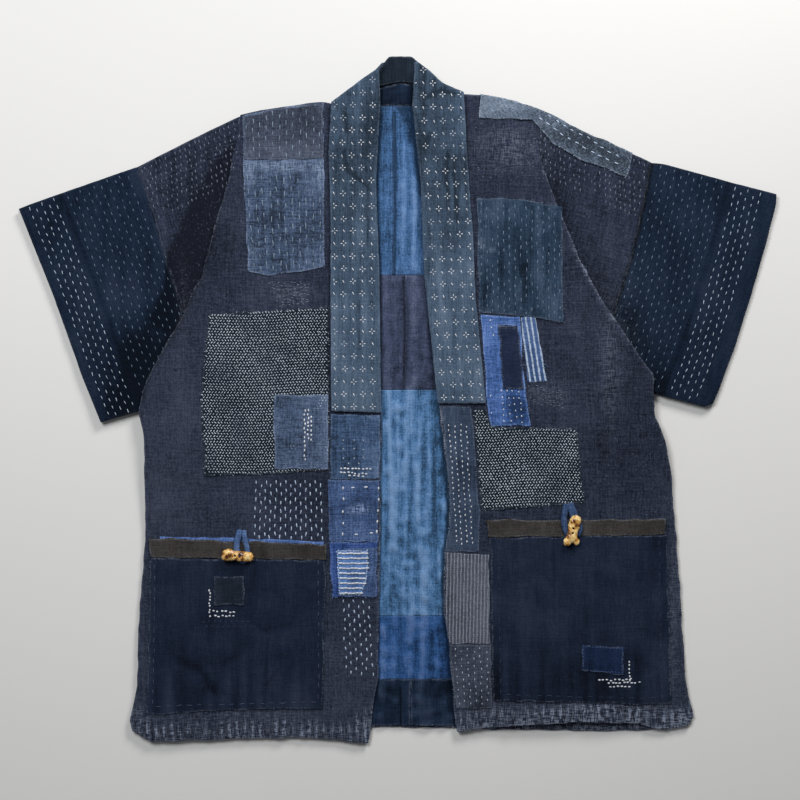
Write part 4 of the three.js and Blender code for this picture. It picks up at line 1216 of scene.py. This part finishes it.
# woven stripes: pitch, width, turn, colour and shift
STRIPE_GREY = (4.0, 1.3, 0.02, colour(0.53, 0.55, 0.60), 0.0)
STRIPE_PALE = (5.85, 1.9, -0.156, colour(0.74, 0.80, 0.87), -1.28)
OWN = {  # what a slot's cloths, or one node's, have of their own
    "cuff_navy": dict(edge_wear=0.15), "collar_cotton": dict(edge_wear=0.35),
    "collar_inside": dict(edge_wear=0.6), "lining_blue": dict(light=1.7, edge_wear=0.1),
    "lining_grey": dict(edge_wear=0.1), "lining_pale": dict(light=1.6, edge_wear=0.15),
    "lining_mid": dict(light=1.6, edge_wear=0.15),
    "cuff_left": dict(grain=-0.37), "cuff_right": dict(grain=0.31), "sleeve_left": dict(grain=-0.25),
    "sleeve_right": dict(grain=0.25), "edge_patch_right_2": dict(stripes=STRIPE_GREY),
    "striped_strip_right": dict(stripes=STRIPE_PALE), "shoulder_strip_right": dict(grain=-0.5),
    "small_patch_left": dict(edge_wear=1.0, light=1.8), "shoulder_patch_left": dict(edge_wear=0.8),
    "blue_patch_right": dict(edge_wear=0.9), "pocket_patch_left": dict(edge_wear=0.5),
}


def cloth_material(node):
    slot = SLOT_OF[node]
    settings = {**OWN.get(slot, {}), **OWN.get(node, {})}
    base = BASE_OF.get(node, BASE_OF[slot])
    seed = float(CLOTH_NODES.index(node)) * 1.7
    return cotton(f"{node}_cotton", base, LOOKS[slot], seed=seed, **settings)


# ---- making cloth -----------------------------------------------------------------------------------
DRAFT = 1.0
RIM_RINGS = (0.45, 1.2)  # where the extra rings of points lie inside a rim


def mesh_object(name, points, faces, material, sharp=None):
    mesh = bpy.data.meshes.new(name)
    mesh.from_pydata(np.asarray(points).tolist(), [], faces)
    mesh.materials.append(material)
    mesh.polygons.foreach_set("use_smooth", [True] * len(mesh.polygons))
    mesh.update()
    if sharp:
        mesh.set_sharp_from_angle(angle=sharp)
    made = bpy.data.objects.new(name, mesh)
    bpy.context.scene.collection.objects.link(made)
    return made


def attribute(made, name, values):
    layer = made.data.attributes.new(name, "FLOAT", "POINT")
    layer.data.foreach_set("value", np.asarray(values, np.float32))


def hex_points(ring, spacing, rng):
    """Slightly shaken points of a hexagonal grid inside a ring."""
    low, high = ring.min(0), ring.max(0)
    rise = spacing * math.sqrt(3) / 2
    j, i = np.mgrid[0 : int((high[1] - low[1]) / rise) + 1, 0 : int((high[0] - low[0]) / spacing) + 2]
    x = (low[0] + (i + 0.5 * (j % 2)) * spacing).ravel()
    y = (low[1] + j * rise).ravel()
    x = x + rng.uniform(-0.12, 0.12, len(x)) * spacing
    y = y + rng.uniform(-0.12, 0.12, len(y)) * spacing
    within = inside(ring, x, y)
    return np.column_stack([x[within], y[within]])


def plane_mesh(outline, spacing, wobble, seed, finer=None):
    """Triangles that fill an outline, finer at the rim: x, y, distance to the rim, faces, rim edges.

    finer, where given, is a raster above zero where the triangles are half the size."""
    rng = np.random.default_rng(seed)
    ring = even_outline(outline, min(spacing, 3.0 * DRAFT))
    count = len(ring)
    wave = rng.standard_normal(count)
    for _ in range(4):
        wave = (np.roll(wave, 1) + wave + np.roll(wave, -1)) / 3
    wave = wave / max(wave.std(), 1e-6) * wobble
    normal = unit_normals(np.roll(ring, -1, axis=0) - np.roll(ring, 1, axis=0))
    ring = ring + normal * wave[:, None]
    dense = even_outline(ring, 1.0, smooth=0)
    tree = KDTree(len(dense))
    for i, (x, y) in enumerate(dense):
        tree.insert((x, y, 0), i)
    tree.balance()

    def to_rim(points):
        return np.array([tree.find((x, y, 0))[2] for x, y in points])

    places = [ring]
    for inset in RIM_RINGS:
        moved = ring + normal * inset
        good = (to_rim(moved) > 0.8 * inset) & inside(ring, moved[:, 0], moved[:, 1])
        places.append(moved[good])
    for scale in (1.0,) if finer is None else (1.0, 0.5):
        hexes = hex_points(ring, spacing * scale, rng)
        if finer is not None:
            hexes = hexes[(sample(finer, hexes[:, 0], hexes[:, 1]) > 0.05) == (scale < 1)]
        places.append(hexes[to_rim(hexes) > RIM_RINGS[-1] + 0.45 * spacing * scale])
    points = np.concatenate(places)
    found = delaunay_2d_cdt([Vector(p) for p in points.tolist()], [], [list(range(count))], 1, 1e-5)
    flat = np.array([tuple(v) for v in found[0]])
    faces = np.array(found[2])
    a, b, c = flat[faces[:, 0]], flat[faces[:, 1]], flat[faces[:, 2]]
    turn = (b[:, 0] - a[:, 0]) * (c[:, 1] - a[:, 1]) - (b[:, 1] - a[:, 1]) * (c[:, 0] - a[:, 0])
    faces[turn < 0] = faces[turn < 0][:, ::-1]
    faces = faces[np.abs(turn) > 1e-7]
    edges = np.concatenate([faces[:, [0, 1]], faces[:, [1, 2]], faces[:, [2, 0]]])
    both = {(p, q) for p, q in edges.tolist()}
    rim = np.array([(p, q) for p, q in edges.tolist() if (q, p) not in both])
    return flat[:, 0], flat[:, 1], to_rim(flat), faces, rim


RIM_SAG = 0.55  # of a sheet's thickness


def shell_parts(x, y, rim_distance, faces, rim, top, thickness, round_over):
    """The points and faces of a closed sheet of one thickness with rounded rims."""
    near = np.clip(1 - rim_distance / round_over, 0, 1)
    drop = RIM_SAG * thickness * (1 - np.sqrt(1 - near**2))
    upper = top(x, y)
    above, below = np.column_stack([x, y, upper - drop]), np.column_stack([x, y, upper - thickness])
    points = np.concatenate([above, below])
    n = len(x)
    walls = np.column_stack([rim[:, 0], rim[:, 0] + n, rim[:, 1] + n, rim[:, 1]])
    return points, faces.tolist() + (faces[:, ::-1] + n).tolist() + walls.tolist()


PIECES = {}
UNDER_SPACING = 8.0


def cloth(
    node, top, thickness, spacing, tones, wobble=0.45, round_over=1.3, wears=None, lower=None, finer=None,
):
    """Lays a sheet where a CAD node is. lower is the height of a tube's second wall, under the first."""
    x, y, distance, faces, rim = plane_mesh(OUTLINES[node], spacing * DRAFT, wobble, len(PIECES) + 1, finer)
    if node.startswith("front"):  # where it runs on into the sleeve there is no edge
        distance = np.maximum(distance, 30 * ease(sample(joined, x, y), 0.1, 0.7))
    points, polygons = shell_parts(x, y, distance, faces, rim, top, thickness, round_over)
    tone_values = tones(x, y)
    wear_values = np.zeros(len(x)) if wears is None else wears(x, y)
    values = [np.tile(v, 2) for v in (distance, tone_values, wear_values)]
    if lower is not None:
        more = plane_mesh(OUTLINES[node], UNDER_SPACING * DRAFT, wobble, len(PIECES) + 1)
        under, under_faces = shell_parts(*more, lower, thickness, round_over)
        offset = len(points)
        points = np.concatenate([points, under])
        polygons += [[i + offset for i in face] for face in under_faces]
        extra = [np.full(len(more[0]), 20.0)] + [np.zeros(len(more[0]))] * 2
        values = [np.concatenate([v, np.tile(e, 2)]) for v, e in zip(values, extra)]
    made = mesh_object(f"{node}_cloth", points * MM, polygons, cloth_material(node), sharp=math.radians(50))
    for name, value in zip(("edge", "tone", "wear"), values):
        attribute(made, name, value)
    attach(made, "root")
    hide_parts(node)
    PIECES[node] = {"object": made, "top": top, "walls": 1 if lower is None else 2, "sewn": []}


RING = 5  # corners round a stitch
STATIONS = np.array([-0.5, -0.34, 0.0, 0.34, 0.5])  # along a stitch, in its lengths
SWELL = np.array([0.0, 0.85, 1.0, 0.85, 0.0])  # half widths there
SINK = 0.45  # how deep a stitch's ends are
LIFT = 0.3  # how high its middle stands


def stitches(node, name, material, marks, top):
    """One mesh of low, arched stitches that dive into the cloth at both ends."""
    x, y, angle, length, width = marks.T
    reach = STATIONS[None, :] * length[:, None]
    cx = x[:, None] + np.cos(angle)[:, None] * reach
    cy = y[:, None] + np.sin(angle)[:, None] * reach
    arch = 1 - (2 * np.abs(STATIONS)) ** 3
    cz = top(cx, cy) - SINK + (SINK + LIFT) * arch[None, :]
    points, faces = [], []
    ring_angle = np.arange(RING) * 2 * math.pi / RING + math.pi / 2
    for station in (1, 2, 3):
        radius = (width / 2 * SWELL[station])[:, None]
        aside = radius * np.cos(ring_angle)
        rise = radius * 0.75 * np.sin(ring_angle)
        points.append(np.stack([
            cx[:, station, None] - np.sin(angle)[:, None] * aside,
            cy[:, station, None] + np.cos(angle)[:, None] * aside,
            cz[:, station, None] + rise,
        ], axis=-1))
    ends = [np.stack([cx[:, s], cy[:, s], cz[:, s]], axis=-1)[:, None, :] for s in (0, 4)]
    block = np.concatenate(points + ends, axis=1)
    for k in range(RING):
        after = (k + 1) % RING
        faces.append((3 * RING, after, k))
        faces.append((k, after, RING + after, RING + k))
        faces.append((RING + k, RING + after, 2 * RING + after, 2 * RING + k))
        faces.append((2 * RING + k, 2 * RING + after, 3 * RING + 1))
    size = block.shape[1]
    all_faces = [tuple(i + m * size for i in face) for m in range(len(marks)) for face in faces]
    made = mesh_object(f"{node}_{name}", block.reshape(-1, 3) * MM, all_faces, material)
    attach(made, "root")
    PIECES[node]["sewn"].append(made)


# ---- laying the cloth -------------------------------------------------------------------------------
def on(raster, lift=0.0, ripples=0.0, shift=0.0):
    """A surface a given height over a raster, with ripples of its own."""
    def top(x, y):
        own = ripples * sample(ripple, np.asarray(x) * 0.9 + shift, np.asarray(y) * 0.9 - shift)
        return sample(raster, x, y) + lift + own
    return top


def flat_top(node, raster=None):
    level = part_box(node)[1].z / MM
    if raster is None:
        return lambda x, y: np.full(np.shape(x), level)
    return lambda x, y: level + sample(raster, x, y)


def read(raster):
    return lambda x, y: sample(raster, x, y)


def own_tone(shift):
    return lambda x, y: OWN_TONE * sample(tone_noise, x + shift, y - shift) + sample(patch_tone, x, y)


OWN_TONE = 1.3  # how strongly each patch's own cloudiness shows
tone_noise = 0.07 * rough(71, 30) + 0.05 * rough(72, 9) + 0.04 * rough(73, 2.2, 26)
BODY, SLEEVE_WALL, SLEEVE_DEPTH, COLLAR_BACK, LINING, LAPEL = 2.4, 2.2, 5.4, 6.0, 1.0, 3.6  # thicknesses

for side in SIDES:
    cloth(f"back_{side}", flat_top(f"back_{side}"), BODY, 9.0, read(tone), wears=read(wear))
neck_folds = 1.0 * np.maximum(rough(81, 3.6, 20), -0.6) + 0.6
NECK_CREASES = [([(-11, 398), (-6, 380), (-9, 366)], 2.2, -1.4), ([(9, 399), (5, 384), (8, 368)], 2.0, -1.2)]
creases(neck_folds, NECK_CREASES)
neck_folds = np.maximum(neck_folds, 0.1)
# painted shade between the neck's folds and painted highlight on their tops, a little darker overall
neck_fold_shade = 0.16 * (neck_folds - 0.9) - 0.04
cloth("collar_back", flat_top("collar_back", neck_folds), COLLAR_BACK, 2.6, read(neck_fold_shade), wobble=0.1)
for node in [n for n in CLOTH_NODES if n.startswith(("lining", "hem_facing", "neck_yoke"))]:
    cloth(
        node, flat_top(node, lining_relief), LINING, 2.0, read(lining_tone), wobble=0.12, round_over=0.8,
        finer=seam_lines_near,
    )
seam_near = ease(np.minimum(SEAMS["left"], SEAMS["right"]), 6, 3)
for node in ("sleeve_left", "sleeve_right", "cuff_left", "cuff_right"):
    spacing = 3.3 if node.startswith("sleeve") else 2.3
    cloth(
        node, on(sleeve_top), SLEEVE_WALL, spacing, read(sleeve_tone), wobble=0.08, round_over=3.0,
        wears=read(wear), lower=on(SLEEVE, SLEEVE_WALL - SLEEVE_DEPTH), finer=seam_near,
    )
for node in ("front_left", "front_right"):
    cloth(node, on(front_top), BODY, 3.2, read(tone), round_over=2.6, wears=read(wear), finer=hem_near)
for node in ("collar_left", "collar_right"):
    cloth(node, on(collar_top), LAPEL, 2.2, read(collar_tone), wobble=0.1, round_over=2.2)

PATCH, POCKET, BAND, GAP = 0.9, 1.4, 1.9, 0.3  # thicknesses, and the air under each
LEVELS = {  # patches that lie on others, in layers over the front
    "shoulder_top_left": 1.85, "small_patch_left": 2, "edge_inset_left": 2, "striped_patch_left": 3,
    "blue_inset_right": 2,
}
for k, node in enumerate(n for n in CLOTH_NODES if n not in PIECES):
    thickness = PATCH
    lift = LEVELS.get(node, 1) * (PATCH + GAP)
    if node.startswith("pocket_band"):
        thickness, lift = BAND, BAND + GAP
    elif node in ("pocket_left", "pocket_right"):
        thickness, lift = POCKET, POCKET + GAP
    elif node.startswith("pocket_patch"):
        lift = POCKET + GAP + PATCH + GAP
    surface = on(over_shoulder if node == STRIP_NODE else front_top, lift, 0.35, 3 * k)
    cloth(node, surface, thickness, 2.6, own_tone(29 + 5 * k), 0.5, round_over=1.0, wears=read(patch_wear))

for node, groups in SEWN.items():
    for name, kind, marks in groups:
        stitches(node, name, THREADS[kind], marks, PIECES[node]["top"])


# ---- loops and toggles ------------------------------------------------------------------------------
STRAND_STEP = 1.2  # between the rings of a strand
TURNS = 9  # corners round it


def strand(path, width, thickness):
    """A flattened round strip swept along a path of x, y, z points."""
    path = np.asarray(path, float)
    gone = gone_along(path)
    line = points_at(path, gone, np.linspace(0, gone[-1], int(gone[-1] / STRAND_STEP)))
    line = rounded(line, 10)
    aside = unit_normals(np.gradient(line[:, :2], axis=0))
    points, faces = [], []
    for i, (place, side) in enumerate(zip(line, aside)):
        pinch = 0.35 if i in (0, len(line) - 1) else 1.0
        for k in range(TURNS):
            angle = 2 * math.pi * k / TURNS
            ridge = 1 + 0.10 * math.cos(3 * angle) + 0.04 * math.sin(i * 0.9 + k)
            across = pinch * ridge * width / 2 * math.cos(angle)
            points.append([*(place[:2] + side * across), place[2] + pinch * thickness / 2 * math.sin(angle)])
    for i in range(len(line) - 1):
        for k in range(TURNS):
            after = (k + 1) % TURNS
            a, b = i * TURNS, (i + 1) * TURNS
            faces.append([a + k, b + k, b + after, a + after])
    faces.append(list(range(TURNS)))
    last = (len(line) - 1) * TURNS
    faces.append(list(range(last + TURNS - 1, last - 1, -1)))
    return np.array(points), faces


def loop(node, strands, thickness, shade):
    """strands: (width, path) each."""
    points, faces = [], []
    for width, path in strands:
        some, ends = strand(path, width, thickness)
        offset = sum(len(p) for p in points)
        points.append(some)
        faces += [[i + offset for i in face] for face in ends]
    points = np.concatenate(points)
    material = cotton(f"{node}_cotton", shade, LOOKS["loop_blue"])
    made = mesh_object(f"{node}_strips", points * MM, faces, material)
    rng = np.random.default_rng(5)
    for name, value in (("edge", 20.0), ("tone", 0.0), ("wear", 0.12)):
        attribute(made, name, value + rng.uniform(0, 0.1, len(points)))
    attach(made, "root")
    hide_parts(node)


def level(x, y):
    return float(sample(front_top, x, y))


LOOP_THICK = 2.6
OVER_BAND = BAND + GAP + 1.4


def path_over(points):
    return [(x, y, level(x, y) + OVER_BAND + rise) for x, y, rise in points]


LOOP_LEFT = [
    (7.4, path_over([(-183.6, -151, -1.0), (-185, -157, 0.2), (-187.6, -166, 0.6), (-187.6, -175, 0.5),
                     (-186, -182, 0.1)])),
    (6.2, path_over([(-179.4, -151.5, -0.6), (-178.6, -158, 0.9), (-176.6, -167, 0.9), (-174.6, -175, 0.6),
                     (-174.6, -182, 0.1)])),
    (4.6, path_over([(-186, -181, -0.4), (-184.6, -187, 0), (-180.6, -190, 0), (-176, -188, 0),
                     (-174.4, -182, -0.4)])),
]
LOOP_RIGHT = [
    (7.4, path_over([(196.8, -121, -0.8), (194.6, -129, 0), (193.4, -137, 0.3), (193.8, -145, 0.3),
                     (196.6, -154, 0), (201, -159, -0.4)])),
    (9.6, path_over([(199.8, -120.4, -0.6), (202.4, -127, 0.9), (205, -134, 1.0), (208, -141, 0.6)])),
    (6.0, path_over([(209, -139, -0.2), (212.6, -146, 0.3), (212.8, -153, 0.2), (209, -158.6, -0.2)])),
]
loop("loop_left", LOOP_LEFT, LOOP_THICK, colour(0.27, 0.37, 0.54))
loop("loop_right", LOOP_RIGHT, LOOP_THICK, colour(0.165, 0.255, 0.40))


def horn(name, browner):
    """Polished horn: amber mottled with brown, darker in its hollows."""
    made = Surface(name)
    place = made.turned(0.4)
    mottle = made.noise(place, 6.5, 8, 2.5)
    grain = made.noise(place, 1.4, 5, 3.0)
    tint = made.math("MULTIPLY_ADD", grain, 0.25, made.math("MULTIPLY", mottle, 1.25))
    tint = made.math("ADD", tint, made.attribute("stain"))
    stops = [
        (0.48, colour(0.24, 0.13, 0.06)), (0.60, colour(0.56, 0.36, 0.15)), (0.70, colour(0.85, 0.64, 0.33)),
        (0.92, colour(0.97, 0.86, 0.60)),
    ]
    stops = [(position + browner, shade) for position, shade in stops]
    made.set(Base_Color=made.ramp(tint, stops), Roughness=made.between(grain, 0.3, 0.7, 0.2, 0.38))
    made.set(Coat_Weight=0.5, Coat_Roughness=0.12, Specular_IOR_Level=0.5)
    made.bump(made.math("ADD", mottle, grain), 0.5 * MM, 0.5)
    return made.material


TOGGLE_VOXEL = 0.0007
TOOL_MARK = 0.25
SPOT_REACH = 3.6


def lump(target, middle, turn, along, aside, reach, half):
    """Adds a rounded lump to a toggle, along and aside of its middle."""
    built = bmesh.new()
    built.from_mesh(target)
    place = Matrix.Translation(middle) @ Matrix.Rotation(turn, 4, "Z") @ Matrix.Translation(
        (aside * MM, along * MM, 0))
    size = Matrix.Diagonal((half * MM, reach * MM, 0.8 * half * MM, 1))
    bmesh.ops.create_icosphere(built, subdivisions=3, radius=1, matrix=place @ size)
    built.to_mesh(target)
    built.free()


def vectors(mesh, name):
    values = np.zeros(len(mesh.vertices) * 3)
    mesh.vertices.foreach_get(name, values)
    return values.reshape(-1, 3)


def toggle(node, browner, middle, turn, lumps, swells, spots):
    """The carved toggle's CAD form, remeshed fine, eased and given tool marks."""
    made = bpy.data.objects.new(f"{node}_horn", NODES[node].data.copy())
    bpy.context.scene.collection.objects.link(made)
    middle = Vector((middle[0] * MM, middle[1] * MM, (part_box(node)[0].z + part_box(node)[1].z) / 2))
    for each in lumps:
        lump(made.data, middle, turn, *each)
    remesh = made.modifiers.new("fine", "REMESH")
    remesh.mode = "VOXEL"
    remesh.voxel_size = TOGGLE_VOXEL
    ease_it = made.modifiers.new("ease", "SMOOTH")
    ease_it.iterations = 3
    bpy.context.view_layer.update()
    done = bpy.data.meshes.new_from_object(made.evaluated_get(bpy.context.evaluated_depsgraph_get()))
    made.modifiers.clear()
    made.data = done
    co = vectors(done, "co")
    x, y = co.T[:2]
    wave = np.sin(x * 900 + 1) * np.sin(y * 760 + 2) + 0.6 * np.sin(x * 1700 + y * 1500)
    co = co + vectors(done, "normal") * (wave * TOOL_MARK * MM)[:, None]
    ahead = np.array([-math.sin(turn), math.cos(turn)])
    aside = np.array([math.cos(turn), math.sin(turn)])

    def along_and_across():
        flat = (co[:, :2] - np.array(middle[:2])) / MM
        return flat @ ahead, flat @ aside

    along, across = along_and_across()
    for at, reach, widen, shift in swells:
        near = bell(along - at, reach)
        moved = across * widen * near + shift * near
        co[:, :2] += moved[:, None] * aside * MM
    along, across = along_and_across()
    stain = np.zeros(len(co))
    for at, side, amount in spots:
        stain -= amount * bell(np.hypot(along - at, across - side), SPOT_REACH)
    done.vertices.foreach_set("co", co.ravel())
    attribute(made, "stain", stain)
    done.materials.clear()
    done.materials.append(horn(f"{node}_horn", browner))
    done.polygons.foreach_set("use_smooth", [True] * len(done.polygons))
    done.update()
    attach(made, "root")
    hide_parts(node)


# lumps: along, aside, reach and half width; swells: along, reach, share and shift aside; spots: along,
# aside and how much browner
toggle(
    "toggle_left", 0.03, (-186, -181.5), -math.pi / 2 - 0.06,
    [], [(2.5, 7, 0.30, -0.6)], [(-11.5, 0, 0.15), (1, -1, 0.08), (8.5, -2, 0.10), (15, 0, -0.10)],
)
toggle(
    "toggle_right", -0.03, (204, -152), -0.12,
    [(-13, -4.4, 5.6, 4.4), (-9.5, 0.6, 4.6, 4.6)], [(4, 8, 0.20, -0.2)],
    [(11, 1.4, 0.14), (5, 0, 0.08), (-5.5, -4, 0.12), (-10, 0.5, -0.10)],
)

# ---- what each sheet was cut to ---------------------------------------------------------------------
UNDER = {
    "lining": ["back_left", "back_right"], "hem_facing": ["back_left", "back_right"],
    "neck_yoke": ["back_left", "back_right"], "sleeve_left": ["back_left"], "sleeve_right": ["back_right"],
    "front_left": ["back_left", "sleeve_left"], "front_right": ["back_right", "sleeve_right"],
    "collar_left": ["front_left"], "collar_right": ["front_right"],
}
BENT = {"shoulder_strip_right": 0.205}  # lengths of strips cut straight and sewn on bent
for node, piece in PIECES.items():
    outline = OUTLINES[node]
    width, length = (outline.max(0) - outline.min(0)) * MM
    area = abs(polygon_area(outline)) * MM * MM * piece["walls"]
    if node in BENT:
        width, length, area = area / BENT[node], BENT[node], None
    below = next((names for key, names in UNDER.items() if node.startswith(key)), [])
    if not below and not node.startswith(("back", "collar_back", "cuff")):
        below = ["front_left" if outline[:, 0].mean() < 0 else "front_right"]


# ---- floor, light and camera ------------------------------------------------------------------------
FLOOR_REACH, FLOOR_DROP = 4, 0.0004  # m, as are the places below


def floor():
    made = Surface("floor_pale")
    drift = made.noise(made.place, 700, 700, 1.0)
    shade = made.ramp(drift, [(0.3, colour(0.885, 0.882, 0.875)), (0.7, colour(0.905, 0.90, 0.893))])
    made.set(Base_Color=shade, Roughness=0.7, Specular_IOR_Level=0.2)
    corners = [(FLOOR_REACH * x, FLOOR_REACH * y, 0) for x, y in ((-1, -1), (1, -1), (1, 1), (-1, 1))]
    plane = mesh_object("floor", corners, [(0, 1, 2, 3)], made.material)
    plane.location.z = -FLOOR_DROP
    plane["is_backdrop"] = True


def area_light(name, place, target, size, power, tint):
    light = bpy.data.lights.new(name, "AREA")
    light.shape = "DISK"
    light.size = size
    light.energy = power
    light.color = tint
    made = bpy.data.objects.new(name, light)
    made.location = place
    made.rotation_euler = (Vector(target) - Vector(place)).to_track_quat("-Z", "Y").to_euler()
    bpy.context.scene.collection.objects.link(made)


floor()
LIGHTS = [  # name, place, what it points at, width, power, tint
    ("key", (0.70, 1.5, 1.05), (0, 0.1, 0), 0.7, 25.0, (1.0, 0.99, 0.97)),
    ("fill", (-0.75, 0.95, 1.9), (0, 0, 0), 1.0, 29, (0.975, 0.985, 1.0)),
]
for settings in LIGHTS:
    area_light(*settings)
SKY_TINT, SKY_STRENGTH = (0.93, 0.96, 1.0, 1), 0.12
world = bpy.data.worlds.new("soft")
world.use_nodes = True
sky = world.node_tree.nodes["Background"].inputs
sky["Color"].default_value = SKY_TINT
sky["Strength"].default_value = SKY_STRENGTH
bpy.context.scene.world = world
bpy.context.scene.view_settings.view_transform = "Standard"

CAMERA_HEIGHT = 2.2
CAMERA_ASIDE = 0.0029
SEEN_WIDTH = 0.936  # at the floor
camera = bpy.data.cameras.new("camera")
camera.sensor_width = 36
camera.lens = camera.sensor_width * CAMERA_HEIGHT / SEEN_WIDTH
camera_object = bpy.data.objects.new("camera", camera)
camera_object.location = (CAMERA_ASIDE, 0, CAMERA_HEIGHT)
bpy.context.scene.collection.objects.link(camera_object)
bpy.context.scene.camera = camera_object

low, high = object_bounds()
